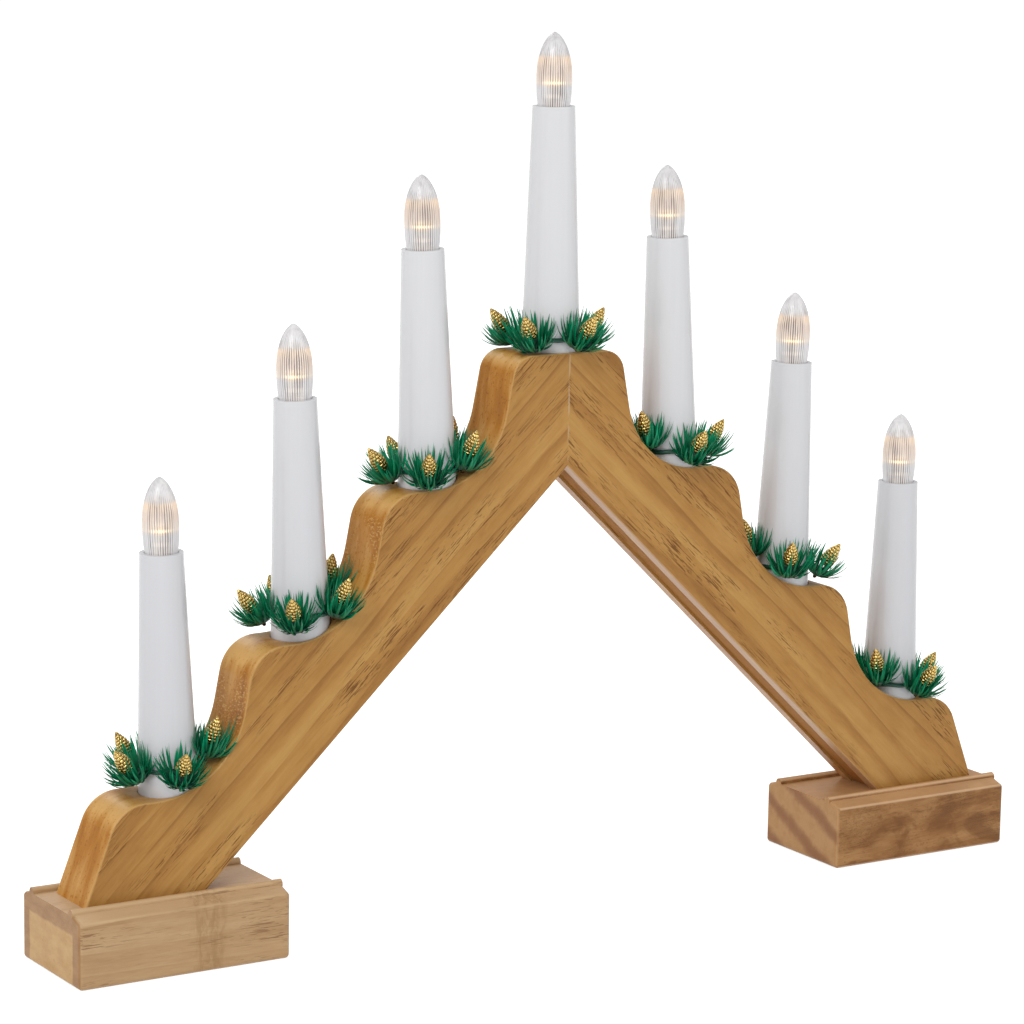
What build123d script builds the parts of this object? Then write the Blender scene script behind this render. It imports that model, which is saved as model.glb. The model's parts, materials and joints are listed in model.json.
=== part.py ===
from build123d import *
import math
import os

os.makedirs("parts", exist_ok=True)

# Driving sizes in millimetres. X runs along the arch, the front faces -Y, Z is up.
# The origin is on the standing surface, midway between the two feet.
overall_length = 400.0

# The seven candles, counted from the left. The fourth stands on the apex.
outer_candle_inset = 43.1  # from the end of the arch to the outermost candle's place
candle_shifts = (2.0, 1.7, 0.4, -0.8, 0.0, 0.5, 2.2)  # along X, how far off its place each one stands
outer_seat_height = 59.5
seat_rise = 50.0
apex_rise = 46.0
candle_leans = (-1.8, -1.9, -2.0, -0.3, -1.9, 1.5, 0.7)  # degrees, each one pushed in slightly off upright

# Stepped outline of the arms
seat_reach_share = 0.428  # of the distance between two candles
wall_angle = 79.0  # degrees from level
end_angle = 69.0  # degrees from level
corner_share = 0.271  # of a seat's length, for the rounding at its outer end
apex_corner_share = 0.313
cove_share = 0.668  # of a seat's length, for the curve at its inner end
apex_cove_share = 0.58
apex_board_depth = 41.3
underside_inset = 53.3  # from the end of the arch to where the underside meets the foot
edge_rounding = 0.8
recess_wall = 1.05  # wood left beside a candle on the board's narrow side

# Feet
foot_end_wall = 5.7  # wood left round the battery compartment
foot_side_wall = 6.95
side_height = 23.5
ridge_height = 27.0
ridge_distance = 3.8  # from the face of the board
bead_radius = 1.6
channel_depth = 2.0
foot_edge_radius = 1.5

# Cable duct under the arms
duct_width = 12.0
duct_depth = 11.5
duct_cover_recess = 1.0
duct_cover_thickness = 2.5
duct_cover_gap = 0.2

# Candle tubes
tube_length = 89.0
tube_bottom_radius = 10.8
tube_rim_width = 1.6
tube_wall = 1.1
tube_lip_thickness = 1.5
tube_rim_rounding = 0.9
seat_recess = 4.0
apex_recess = 1.0
recess_gap = 0.15
wire_hole_radius = 3.0

# Lamps and their sockets
lip_gap = 0.3
cover_skirt_radius = 5.8
cover_belly_radius = 6.45
cover_belly_height = 10.0
cover_shoulder_radius = 5.1
cover_shoulder_height = 20.0
cover_height = 26.4
cover_tip_roundness = 0.333
cover_wall = 1.0
socket_length = 18.0
socket_floor = 4.5
socket_gap = 0.1
socket_top_depth = 5.0
plug_radius = 3.9
plug_length = 13.0
plug_gap = 0.2
lamp_flange_thickness = 1.4
lamp_flange_gap = 0.15
stem_radius = 3.2
stem_top_radius = 2.6
stem_height = 9.5
led_radius = 2.4
lamp_seat_gap = 0.1

# Wreaths
ring_height = 1.8
ring_width = 1.2
ring_fit = 0.15
ring_rest = 4.7
ring_clearance = 0.35
tuft_count = 5
tuft_turns = (24.0, -3.0, 5.0, -25.0, 37.0, 8.0, -23.0)  # degrees, how each wreath is turned
front_turn = -122.6  # degrees from +X, the side that a wreath turned by 0 shows
tuft_root_distance = 2.7  # from the foot of the candle's surface
tuft_root_radius = 2.7
tuft_drop = 3.4
tuft_length = 11.5
tuft_tip_radius = 7.6
tuft_notch_radius = 5.3
tuft_points = 9
tuft_elevation = 55.0  # degrees
tuft_wall_tilt = 20.0  # degrees, how much steeper a tuft stands where it points at the wall
stem_wire_radius = 0.9
wood_clearance = 0.6
needle_gap = 0.3

# Pine cones
cone_length = 10.5
cone_radius = 2.8
cone_tip_radius = 0.5
cone_base_radius = 1.5
cone_tiers = 6
cone_belly_share = 0.35
cone_taper = 1.6  # power of the curve from belly to tip
tier_notch_share = 0.82
cone_seat = 4.6
cone_gap = 0.3

# Joinery
dowel_radius = 3.0
dowel_length = 24.0
dowel_spacing = 15.2
dowel_height_share = 0.24  # of the way from the duct's roof up to the apex candle
dowel_gap = 0.05
screw_radius = 1.75
screw_head_radius = 3.5
screw_head_height = 2.0
screw_length = 20.0
screw_bore_radius = 4.5
screw_spacing = 13.0
screw_end_distance = 20.5
screw_gap = 0.05

# Battery compartment in the left foot
box_wall = 1.2
box_gap = 0.3
box_recess = 0.6
switch_bay_length = 9.4
cover_plate_thickness = 1.8
cover_plate_gap = 0.2
finger_recess_length = 5.0
finger_recess_width = 12.0
finger_recess_depth = 0.6
finger_recess_inset = 3.0
cell_radius = 7.1
cell_length = 49.2
cell_spacing = 15.0
cell_nub_radius = 2.75
cell_nub_height = 1.0
cell_floor_gap = 0.3
cell_side_gap = 0.5
cell_top_gap = 0.7
cell_end_room = 7.4  # for the contacts and springs at both ends together
contact_thickness = 0.5
contact_width = 10.0
contact_height = 9.0
contact_gap = 0.1
spring_radius = 4.0
spring_tip_radius = 2.6
switch_width = 12.0
switch_height = 6.0
knob_length = 3.2
knob_width = 3.2
knob_drop = 2.6
knob_plate_length = 6.0
knob_plate_width = 5.0
knob_plate_thickness = 0.8
switch_travel = 4.0
bay_floor_thickness = 1.2
slot_gap = 0.2

# Wiring
lead_radius = 1.2
trunk_radius = 1.5
lead_end_gap = 0.3

overrun = 20.0
candle_numbers = range(1, len(candle_leans) + 1)
middle_candle = (len(candle_leans) + 1) // 2
candle_pitch = (overall_length / 2 - outer_candle_inset) / (middle_candle - 1)
seat_reach = seat_reach_share * candle_pitch
tube_top_radius = cover_skirt_radius + lip_gap + tube_rim_width
board_thickness = 2 * (tube_bottom_radius + recess_gap + recess_wall)
tuft_root_offset = tube_bottom_radius + tuft_root_distance
wall_run = 1 / math.tan(math.radians(wall_angle))

# The battery compartment sets the size of the feet
box_length = cell_length + cell_end_room + switch_bay_length + 3 * box_wall
box_width = cell_spacing + 2 * (cell_radius + cell_side_gap + box_wall)
box_height = cover_plate_thickness + cell_floor_gap + 2 * cell_radius + cell_top_gap + box_wall
foot_length = box_length + 2 * foot_end_wall
foot_depth = box_width + 2 * foot_side_wall
foot_centre = (overall_length - foot_length) / 2
ridge_offset = board_thickness / 2 + ridge_distance
channel_height = ridge_height - channel_depth


def side_of(number):
    """-1 for the candles of the left arm, 1 for those of the right arm, 0 at the apex."""
    return (number > middle_candle) - (number < middle_candle)


def steps_out(number):
    """How many steps a candle stands away from the apex."""
    return abs(number - middle_candle)


def seat_height(step):
    """Height of the seat that lies the given number of steps out."""
    lowest = middle_candle - 1
    apex_extra = apex_rise - seat_rise if step == 0 else 0
    return outer_seat_height + (lowest - step) * seat_rise + apex_extra


def rise_above(step):
    """Height of the wall that goes up from a seat to the next one."""
    return seat_height(step - 1) - seat_height(step)


def seat_run(step):
    """Length along which a seat's two roundings must fit: the seat itself, or its wall where that is shorter."""
    if step == 0:
        return seat_reach
    seat = candle_pitch - rise_above(step) * wall_run
    wall = rise_above(step) / math.sin(math.radians(wall_angle))
    return min(seat, wall)


def corner_radius_of(step):
    share = apex_corner_share if step == 0 else corner_share
    return share * seat_run(step) / math.tan(math.radians(wall_angle / 2))


def cove_radius_of(step):
    share = apex_cove_share if step == 1 else cove_share
    return share * seat_run(step) / math.tan(math.radians(wall_angle / 2))


def cove_start(step):
    """Distance from the centre where a seat ends and the curve of its wall begins."""
    wall_foot = candle_pitch * (step - 1) + seat_reach + rise_above(step) * wall_run
    return wall_foot + cove_radius_of(step) * math.tan(math.radians(wall_angle / 2))


def candle_x(number):
    return candle_pitch * (number - middle_candle) + candle_shifts[number - 1]


def wood_rise(number, inboard):
    """Height of the wood above a candle's seat, at a distance from the candle towards the centre."""
    step = steps_out(number)
    if step == 0:
        return 0
    into_cove = cove_start(step) - (abs(candle_x(number)) - inboard)
    radius = cove_radius_of(step)
    into_cove = min(max(into_cove, 0), radius)
    return radius - math.sqrt(radius**2 - into_cove**2)


def recess_of(number):
    return apex_recess if steps_out(number) == 0 else seat_recess


def foot_point(number):
    """Centre of the flat bottom of a candle's recess."""
    height = seat_height(steps_out(number)) - recess_of(number)
    return Vector(candle_x(number), 0, height)


def up_vector(number):
    lean = math.radians(candle_leans[number - 1])
    return Vector(math.sin(lean), 0, math.cos(lean))


def profile_plane(number):
    """Plane through a candle's axis: its x is the distance from the axis, its y the height on the candle."""
    up = up_vector(number)
    return Plane(origin=foot_point(number), x_dir=(up.Z, 0, -up.X), z_dir=(0, -1, 0))


def level_plane(number, height=0.0):
    """Plane square to a candle's axis, at a height on the candle."""
    up = up_vector(number)
    return Plane(origin=foot_point(number) + up * height, x_dir=(up.Z, 0, -up.X), z_dir=up)


def candle_axis(number):
    return Axis(foot_point(number), up_vector(number))


def tube_radius(height):
    """Outer radius of a candle tube at a height on the candle."""
    return tube_bottom_radius + (tube_top_radius - tube_bottom_radius) * height / tube_length


def save(part, name):
    part.label = name
    export_step(part, f"parts/{name}.step")


# The straight underside, from the apex down to the foot
underside_apex_height = seat_height(0) - apex_board_depth
underside_end = overall_length / 2 - underside_inset
underside_slope = (underside_apex_height - channel_height) / underside_end


def underside_height(x, depth=0.0):
    """Height at a distance from the centre of a line that runs along the underside, at a depth into the wood."""
    upward = depth * math.sqrt(1 + underside_slope**2)
    return underside_apex_height + upward - underside_slope * abs(x)


# Wooden arms
def duct_outline(side, near, far):
    """Four corners of a strip along the underside, from one depth into the wood to another."""
    corners = []
    for depth in (near, far):
        top = underside_height(0, depth)
        end = (top - channel_height) / underside_slope
        corners.append(((0, top), (side * end, channel_height)))
    return [corners[0][0], corners[0][1], corners[1][1], corners[1][0]]


def arm_outline_points(side):
    """Sharp corners of the stepped top, from the apex down to the foot, with a rounding for each inner one."""
    points = [(0, seat_height(0))]
    radii = []
    for step in range(middle_candle):
        corner = candle_pitch * step + seat_reach
        points.append((side * corner, seat_height(step)))
        radii.append(corner_radius_of(step))
        if step < middle_candle - 1:
            points.append((side * (corner + rise_above(step + 1) * wall_run), seat_height(step + 1)))
            radii.append(cove_radius_of(step + 1))
    end = corner + (outer_seat_height - channel_height) / math.tan(math.radians(end_angle))
    points.append((side * end, channel_height))
    return points, radii


def screw_places(side):
    outer = overall_length / 2 - screw_end_distance
    return [side * (outer - screw_spacing * row) for row in (0, 1)]


def make_arm(side, name):
    with BuildPart() as arm:
        points, radii = arm_outline_points(side)
        with BuildSketch(Plane.XZ):
            with BuildLine():
                FilletPolyline(*points, radius=radii)
                Polyline(
                    points[-1],
                    (side * underside_end, channel_height),
                    (0, underside_apex_height),
                    points[0],
                )
            make_face()
        extrude(amount=board_thickness / 2, both=True)
        face_edges = arm.edges().filter_by(lambda edge: abs(abs(edge.center().Y) - board_thickness / 2) < edge_rounding)
        fillet(
            face_edges.filter_by(
                lambda edge: abs(edge.center().X) > edge_rounding
                and edge.center().Z > channel_height + edge_rounding
            ),
            radius=edge_rounding,
        )
        with BuildSketch(Plane.XZ):
            with BuildLine():
                Polyline(*duct_outline(side, 0, duct_depth), close=True)
            make_face()
        extrude(amount=duct_width / 2, both=True, mode=Mode.SUBTRACT)
        for number in candle_numbers:
            if side_of(number) in (0, side):
                with BuildSketch(level_plane(number)):
                    Circle(tube_bottom_radius + recess_gap)
                extrude(amount=overrun, mode=Mode.SUBTRACT)
                with BuildSketch(level_plane(number)):
                    Circle(wire_hole_radius)
                extrude(amount=-wire_hole_length(number), mode=Mode.SUBTRACT)
        with BuildSketch(Plane.YZ):
            with Locations(*dowel_points()):
                Circle(dowel_radius + dowel_gap)
        extrude(amount=side * (dowel_length / 2 + dowel_gap), mode=Mode.SUBTRACT)
        with BuildSketch(Plane.XY.offset(channel_height)):
            with Locations(*[(x, 0) for x in screw_places(side)]):
                Circle(screw_radius + screw_gap)
        extrude(amount=screw_tip_height() - channel_height + screw_gap, mode=Mode.SUBTRACT)
    save(arm.part, name)


def wire_hole_length(number):
    return foot_point(number).Z - underside_height(candle_x(number), duct_depth) + duct_depth / 2


def dowel_points():
    roof = underside_height(0, duct_depth)
    height = roof + dowel_height_share * (foot_point(middle_candle).Z - roof)
    return [(offset, height) for offset in (-dowel_spacing / 2, dowel_spacing / 2)]


def screw_tip_height():
    return screw_seat_height() + screw_length


def screw_seat_height():
    """Height where a screw's head lies: the roof of the battery pocket and of the screw bores."""
    return box_recess + box_height + box_gap


make_arm(-1, "left_arm")
make_arm(1, "right_arm")

# Dowels across the mitre
with BuildPart() as mitre_dowels:
    with BuildSketch(Plane.YZ.offset(-dowel_length / 2)):
        with Locations(*dowel_points()):
            Circle(dowel_radius)
    extrude(amount=dowel_length)
save(mitre_dowels.part, "mitre_dowels")


# Where the wiring runs: a trunk along each duct and a lead down into the left foot
def trunk_level(x):
    """Height of the trunk, which lies between the duct's cover and its roof."""
    return underside_height(x, (duct_cover_recess + duct_cover_thickness + duct_depth) / 2)


def trunk_reach():
    """Distance from the centre where the trunk ends, just above the foot."""
    return (trunk_level(0) - channel_height - trunk_radius - lead_end_gap) / underside_slope


def lead_entry():
    """Distance from the centre where the battery lead goes down through the left foot."""
    return trunk_reach() - lead_radius


# Feet: a block with a bead on each long side and a shallow channel between them
def make_foot(side, name):
    with BuildPart() as foot:
        with BuildSketch(Plane.YZ.offset(side * foot_centre)):
            with BuildLine():
                bead_base = ridge_height - bead_radius
                bead_outside = ridge_offset + bead_radius
                bead_inside = ridge_offset - bead_radius
                Polyline((0, 0), (foot_depth / 2, 0), (foot_depth / 2, side_height), (bead_outside, bead_base))
                ThreePointArc((bead_outside, bead_base), (ridge_offset, ridge_height), (bead_inside, bead_base))
                Polyline((bead_inside, bead_base), (bead_inside, channel_height), (0, channel_height))
                mirror(about=Plane.YZ)
            make_face()
        extrude(amount=foot_length / 2, both=True)
        upright_edges = foot.edges().filter_by(Axis.Z).filter_by(lambda edge: edge.length > bead_base / 2)
        fillet(upright_edges, radius=foot_edge_radius)
        outer_edges = foot.edges().filter_by(Axis.X).filter_by(
            lambda edge: abs(edge.center().Y) > bead_outside + bead_radius
        )
        fillet(outer_edges, radius=foot_edge_radius)
        if side < 0:
            with BuildSketch():
                with Locations((side * foot_centre, 0)):
                    Rectangle(box_length + 2 * box_gap, box_width + 2 * box_gap)
            extrude(amount=screw_seat_height(), mode=Mode.SUBTRACT)
        else:
            with BuildSketch():
                with Locations(*[(x, 0) for x in screw_places(side)]):
                    Circle(screw_bore_radius)
            extrude(amount=screw_seat_height(), mode=Mode.SUBTRACT)
        with BuildSketch(Plane.XY.offset(screw_seat_height())):
            with Locations(*[(x, 0) for x in screw_places(side)]):
                Circle(screw_radius + screw_gap)
            if side < 0:
                with Locations((-lead_entry(), 0)):
                    Circle(wire_hole_radius)
        extrude(amount=overrun, mode=Mode.SUBTRACT)
        for x in screw_places(side):
            with BuildSketch(Plane.XY.offset(screw_seat_height())):
                with Locations((x, 0)):
                    Circle(screw_head_radius + screw_gap)
            with BuildSketch(Plane.XY.offset(screw_seat_height() + screw_head_height)):
                with Locations((x, 0)):
                    Circle(screw_radius + screw_gap)
            loft(mode=Mode.SUBTRACT)
    save(foot.part, name)


make_foot(-1, "left_foot")
make_foot(1, "right_foot")

# Countersunk screws that hold the arms to the feet
with BuildPart() as foot_screws:
    for side in (-1, 1):
        for x in screw_places(side):
            axis_start = (x, 0, screw_seat_height())
            with BuildSketch(Plane(origin=axis_start, x_dir=(1, 0, 0), z_dir=(0, -1, 0))):
                with BuildLine():
                    Polyline(
                        (0, 0),
                        (screw_head_radius, 0),
                        (screw_radius, screw_head_height),
                        (screw_radius, screw_length - 2 * screw_radius),
                        (0, screw_length),
                        close=True,
                    )
                make_face()
            revolve(axis=Axis(axis_start, (0, 0, 1)))
save(foot_screws.part, "foot_screws")


# Cover strips of the cable duct
def make_duct_cover(side, name):
    with BuildPart() as cover:
        with BuildSketch(Plane.XZ):
            with BuildLine():
                outer = duct_cover_recess
                Polyline(*duct_outline(side, outer, outer + duct_cover_thickness), close=True)
            make_face()
        extrude(amount=duct_width / 2 - duct_cover_gap, both=True)
        with BuildSketch(Plane.YZ):
            Rectangle(board_thickness, overall_length * 2)
        extrude(amount=side * duct_cover_gap, mode=Mode.SUBTRACT)
        with BuildSketch(Plane.XY):
            Rectangle(overall_length * 2, board_thickness)
        extrude(amount=channel_height + duct_cover_gap, mode=Mode.SUBTRACT)
    save(cover.part, name)


make_duct_cover(-1, "left_duct_cover")
make_duct_cover(1, "right_duct_cover")


# Candle tubes: hollow tapers with a lip inside the rim
def lip_radius():
    return cover_skirt_radius + lip_gap


def make_candle_tube(number):
    with BuildPart() as tube:
        with BuildSketch(profile_plane(number)):
            with BuildLine():
                lip_bottom = tube_length - tube_lip_thickness
                Polyline(
                    (tube_bottom_radius - tube_wall, 0),
                    (tube_bottom_radius, 0),
                    (tube_top_radius, tube_length),
                    (lip_radius(), tube_length),
                    (lip_radius(), lip_bottom),
                    (tube_radius(lip_bottom) - tube_wall, lip_bottom),
                    close=True,
                )
            make_face()
            rim = profile_plane(number).from_local_coords((tube_top_radius, tube_length, 0))
            fillet(vertices().sort_by_distance(rim)[0], radius=tube_rim_rounding)
        revolve(axis=candle_axis(number))
    save(tube.part, f"candle_tube_{number}")


# Lamp sockets: plugs that sit in the narrow end of the tubes
def socket_top():
    return tube_length - socket_top_depth


def make_lamp_socket(number):
    with BuildPart() as socket:
        with BuildSketch(profile_plane(number)):
            with BuildLine():
                bottom = socket_top() - socket_length
                inset = tube_wall + socket_gap
                Polyline(
                    (0, bottom),
                    (tube_radius(bottom) - inset, bottom),
                    (tube_radius(socket_top()) - inset, socket_top()),
                    (plug_radius + plug_gap, socket_top()),
                    (plug_radius + plug_gap, bottom + socket_floor),
                    (0, bottom + socket_floor),
                    close=True,
                )
            make_face()
        revolve(axis=candle_axis(number))
    save(socket.part, f"lamp_socket_{number}")


# Lamps: a push-in base with its light source, under a clear pointed cover
def lamp_seat():
    return socket_top() + lamp_seat_gap


def make_lamp_base(number):
    with BuildPart() as base:
        with BuildSketch(profile_plane(number)):
            with BuildLine():
                flange_radius = cover_skirt_radius - cover_wall - lamp_flange_gap
                flange_top = lamp_seat() + lamp_flange_thickness
                stem_top = flange_top + stem_height
                Polyline(
                    (0, lamp_seat() - plug_length),
                    (plug_radius, lamp_seat() - plug_length),
                    (plug_radius, lamp_seat()),
                    (flange_radius, lamp_seat()),
                    (flange_radius, flange_top),
                    (stem_radius, flange_top),
                    (stem_top_radius, stem_top),
                    (led_radius, stem_top),
                )
                CenterArc((0, stem_top), led_radius, 0, 90)
                Line((0, stem_top + led_radius), (0, lamp_seat() - plug_length))
            make_face()
        revolve(axis=candle_axis(number))
    save(base.part, f"lamp_base_{number}")


def make_lamp_cover(number):
    with BuildPart() as cover:
        for inset, mode in ((0.0, Mode.ADD), (cover_wall, Mode.SUBTRACT)):
            with BuildSketch(profile_plane(number)):
                with BuildLine():
                    rim = tube_length
                    tip = rim + cover_height - inset
                    Line((0, lamp_seat()), (cover_skirt_radius - inset, lamp_seat()))
                    Line((cover_skirt_radius - inset, lamp_seat()), (cover_skirt_radius - inset, rim))
                    Spline(
                        (cover_skirt_radius - inset, rim),
                        (cover_belly_radius - inset, rim + cover_belly_height),
                        (cover_shoulder_radius - inset, rim + cover_shoulder_height),
                        (0, tip),
                        tangents=((0, 1), (-1, 0)),
                        tangent_scalars=(1, cover_tip_roundness),
                    )
                    Line((0, tip), (0, lamp_seat()))
                make_face()
            revolve(axis=candle_axis(number), mode=mode)
    save(cover.part, f"lamp_cover_{number}")


# Wreaths: a ring round the tube with tufts of needles, each tuft a pointed cup
def inward_lean(number):
    return math.radians(-candle_leans[number - 1] * side_of(number))


def ring_place(number):
    """Height on the candle of the middle of its wreath's ring. Beside a wall the ring rests on the wood."""
    reach = tube_bottom_radius + ring_fit + ring_width
    wood = wood_rise(number, reach) + ring_clearance + ring_height / 2 + reach * max(inward_lean(number), 0)
    return recess_of(number) + max(ring_rest, wood)


def tuft_angles(number):
    first = front_turn + tuft_turns[number - 1]
    return [first + 360 / tuft_count * index for index in range(tuft_count)]


def tuft_plane(number, angle):
    """Plane at the root of a tuft, facing the way the tuft points."""
    out = math.radians(angle)
    across = Vector(math.cos(out), math.sin(out), 0)
    facing_wall = -side_of(number) * math.cos(out)
    tilt = math.radians(tuft_elevation + tuft_wall_tilt * max(facing_wall, 0))
    direction = across * math.cos(tilt) + Vector(0, 0, math.sin(tilt))
    inboard = facing_wall * tuft_root_offset + tuft_root_radius
    wood = recess_of(number) + wood_rise(number, inboard) + ring_clearance + tuft_root_radius * math.cos(tilt)
    height = max(ring_place(number) - tuft_drop, wood)
    level = level_plane(number, height)
    origin = level.from_local_coords(across * tuft_root_offset)
    turned = level.from_local_coords(across * tuft_root_offset + direction) - origin
    return Plane(origin=origin, z_dir=turned)


def star_points(outer, inner):
    points = []
    for index in range(2 * tuft_points):
        radius = inner if index % 2 else outer
        turn = math.pi * index / tuft_points
        points.append((radius * math.cos(turn), radius * math.sin(turn)))
    return points


def make_wreath(number):
    height = ring_place(number)
    inner = tube_radius(height - ring_height / 2) + ring_fit
    with BuildPart() as wreath:
        for angle in tuft_angles(number):
            root = tuft_plane(number, angle)
            with BuildSketch(root):
                with BuildLine():
                    notch = tuft_root_radius * tuft_notch_radius / tuft_tip_radius
                    Polyline(*star_points(tuft_root_radius, notch), close=True)
                make_face()
            with BuildSketch(root.offset(tuft_length)):
                with BuildLine():
                    Polyline(*star_points(tuft_tip_radius, tuft_notch_radius), close=True)
                make_face()
            loft(ruled=True)
            stem_start = level_plane(number, height).from_local_coords(
                Vector(inner + ring_width / 2, 0, 0).rotate(Axis.Z, angle)
            )
            stem_end = root.from_local_coords((0, 0, cone_seat / 2))
            with BuildSketch(Plane(origin=stem_start, z_dir=stem_end - stem_start)):
                Circle(stem_wire_radius)
            extrude(amount=(stem_end - stem_start).length)
            with BuildSketch(root.offset(cone_seat - cone_gap)):
                Circle(cone_radius + cone_gap)
            extrude(amount=tuft_length, mode=Mode.SUBTRACT)
        if side_of(number):
            points, radii = arm_outline_points(side_of(number))
            with BuildSketch(Plane.XZ):
                with BuildLine():
                    FilletPolyline(*points, radius=radii)
                    Polyline(points[-1], (0, channel_height), points[0])
                make_face()
                offset(amount=wood_clearance, kind=Kind.INTERSECTION)
            extrude(amount=board_thickness / 2 + wood_clearance, both=True, mode=Mode.SUBTRACT)
        with BuildSketch(level_plane(number)):
            Circle(inner + needle_gap)
        extrude(amount=tube_length, mode=Mode.SUBTRACT)
        with BuildSketch(profile_plane(number)):
            with Locations((inner + ring_width / 2, height)):
                Rectangle(ring_width, ring_height)
        revolve(axis=candle_axis(number))
    save(wreath.part, f"wreath_{number}")


# Pine cones: tapering stacks of scales, one in every tuft
def cone_outline():
    """Half outline of a pine cone, tier by tier: each tier flares out and its foot steps back in."""
    points = [(0, 0), (cone_base_radius, 0)]
    for tier in range(cone_tiers):
        top = cone_length * (tier + 1) / cone_tiers
        share = (tier + 1) / cone_tiers
        if share <= cone_belly_share:
            radius = cone_base_radius + (cone_radius - cone_base_radius) * share / cone_belly_share
        else:
            past = (share - cone_belly_share) / (1 - cone_belly_share)
            radius = cone_radius - (cone_radius - cone_tip_radius) * past**cone_taper
        points.append((radius, top))
        if tier < cone_tiers - 1:
            points.append((radius * tier_notch_share, top))
    points.append((0, cone_length))
    return points


def make_pine_cones(number):
    with BuildPart() as cones:
        for angle in tuft_angles(number):
            seat = tuft_plane(number, angle).offset(cone_seat)
            with BuildSketch(Plane(origin=seat.origin, x_dir=seat.x_dir, z_dir=-seat.y_dir)):
                with BuildLine():
                    Polyline(*cone_outline(), close=True)
                make_face()
            revolve(axis=Axis(seat.origin, seat.z_dir))
    save(cones.part, f"pine_cones_{number}")


for candle in candle_numbers:
    make_candle_tube(candle)
    make_lamp_socket(candle)
    make_lamp_base(candle)
    make_lamp_cover(candle)
    make_wreath(candle)
    make_pine_cones(candle)


# Wiring: a trunk along each duct, with a lead up into every candle
def lead_top():
    """Height on a candle where its lead ends, just under the socket."""
    return socket_top() - socket_length - lead_end_gap


def loom_runs(side):
    """Start, end and radius of every straight run of one arm's wiring. The left one serves the apex too."""
    inner_end = 0 if side < 0 else 2 * trunk_radius + lead_end_gap
    start = Vector(side * inner_end, 0, trunk_level(inner_end))
    last = Vector(side * trunk_reach(), 0, trunk_level(trunk_reach()))
    runs = [(start, last, trunk_radius)]
    for number in candle_numbers:
        if side_of(number) == side or side_of(number) == 0 > side:
            foot = foot_point(number)
            up = up_vector(number)
            bottom = max(trunk_level(foot.X), channel_height + lead_radius + lead_end_gap)
            lead_start = foot - up * ((foot.Z - bottom) / up.Z)
            runs.append((lead_start, foot + up * lead_top(), lead_radius))
            if abs(lead_start.X) > trunk_reach():
                runs.append((last, lead_start, lead_radius))
    if side < 0:
        corner = Vector(-lead_entry(), 0, lead_level())
        over_switch = Vector(bay_middle, 0, lead_level())
        on_switch = Vector(bay_middle, 0, switch_level() + switch_height + lead_end_gap)
        runs.append((Vector(corner.X, 0, trunk_level(corner.X)), corner, lead_radius))
        runs.append((corner, over_switch, lead_radius))
        runs.append((over_switch, on_switch, lead_radius))
    return runs


def make_loom(side, name):
    with BuildPart() as loom:
        for start, end, radius in loom_runs(side):
            with BuildSketch(Plane(origin=start, z_dir=end - start)):
                Circle(radius)
            extrude(amount=(end - start).length)
            with Locations(start):
                Sphere(radius)
    save(loom.part, name)


# Battery compartment, let into the underside of the left foot
def box_top():
    return box_recess + box_height


def lead_level():
    """Height of the battery lead, in the hollow between the two cells."""
    return box_top() - box_wall - lead_end_gap - lead_radius


def cell_height():
    return box_recess + cover_plate_thickness + cell_floor_gap + cell_radius


bay_end = -foot_centre + box_length / 2 - box_wall
bay_start = bay_end - switch_bay_length
cells_end = bay_start - box_wall
cells_start = -foot_centre - box_length / 2 + box_wall
cells_middle = (cells_start + cells_end) / 2
cells_room = cells_end - cells_start
bay_floor = box_recess + cover_plate_thickness

bay_middle = (bay_start + bay_end) / 2


def switch_level():
    """Height of the underside of the switch, above the plate of its knob."""
    return bay_floor + bay_floor_thickness + knob_plate_thickness + 2 * slot_gap


make_loom(-1, "left_loom")
make_loom(1, "right_loom")

with BuildPart() as battery_box:
    with BuildSketch(Plane.XY.offset(box_recess)):
        with Locations((-foot_centre, 0)):
            Rectangle(box_length, box_width)
    extrude(amount=box_height)
    with BuildSketch(Plane.XY):
        with Locations((cells_middle, 0)):
            Rectangle(cells_room, box_width - 2 * box_wall)
    extrude(amount=box_top() - box_wall, mode=Mode.SUBTRACT)
    with BuildSketch(Plane.XY.offset(bay_floor + bay_floor_thickness)):
        with Locations((bay_middle, 0)):
            Rectangle(switch_bay_length, box_width - 2 * box_wall)
    extrude(amount=box_height - cover_plate_thickness - bay_floor_thickness - box_wall, mode=Mode.SUBTRACT)
    with BuildSketch(Plane.XY):
        with Locations((bay_middle, 0)):
            Rectangle(switch_bay_length, box_width - 2 * box_wall)
    extrude(amount=bay_floor, mode=Mode.SUBTRACT)
    with BuildSketch(Plane.XY.offset(bay_floor)):
        with Locations((bay_middle, 0)):
            Rectangle(knob_length + 2 * slot_gap, knob_width + switch_travel + 2 * slot_gap)
    extrude(amount=bay_floor_thickness, mode=Mode.SUBTRACT)
    with BuildSketch(Plane.XY.offset(box_top() - box_wall)):
        with Locations((-lead_entry(), 0)):
            Circle(wire_hole_radius)
    extrude(amount=box_wall, mode=Mode.SUBTRACT)
    with BuildSketch(Plane.YZ.offset(cells_end)):
        with Locations((0, lead_level())):
            Circle(lead_radius + lead_end_gap)
    extrude(amount=box_wall, mode=Mode.SUBTRACT)
save(battery_box.part, "battery_box")

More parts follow.
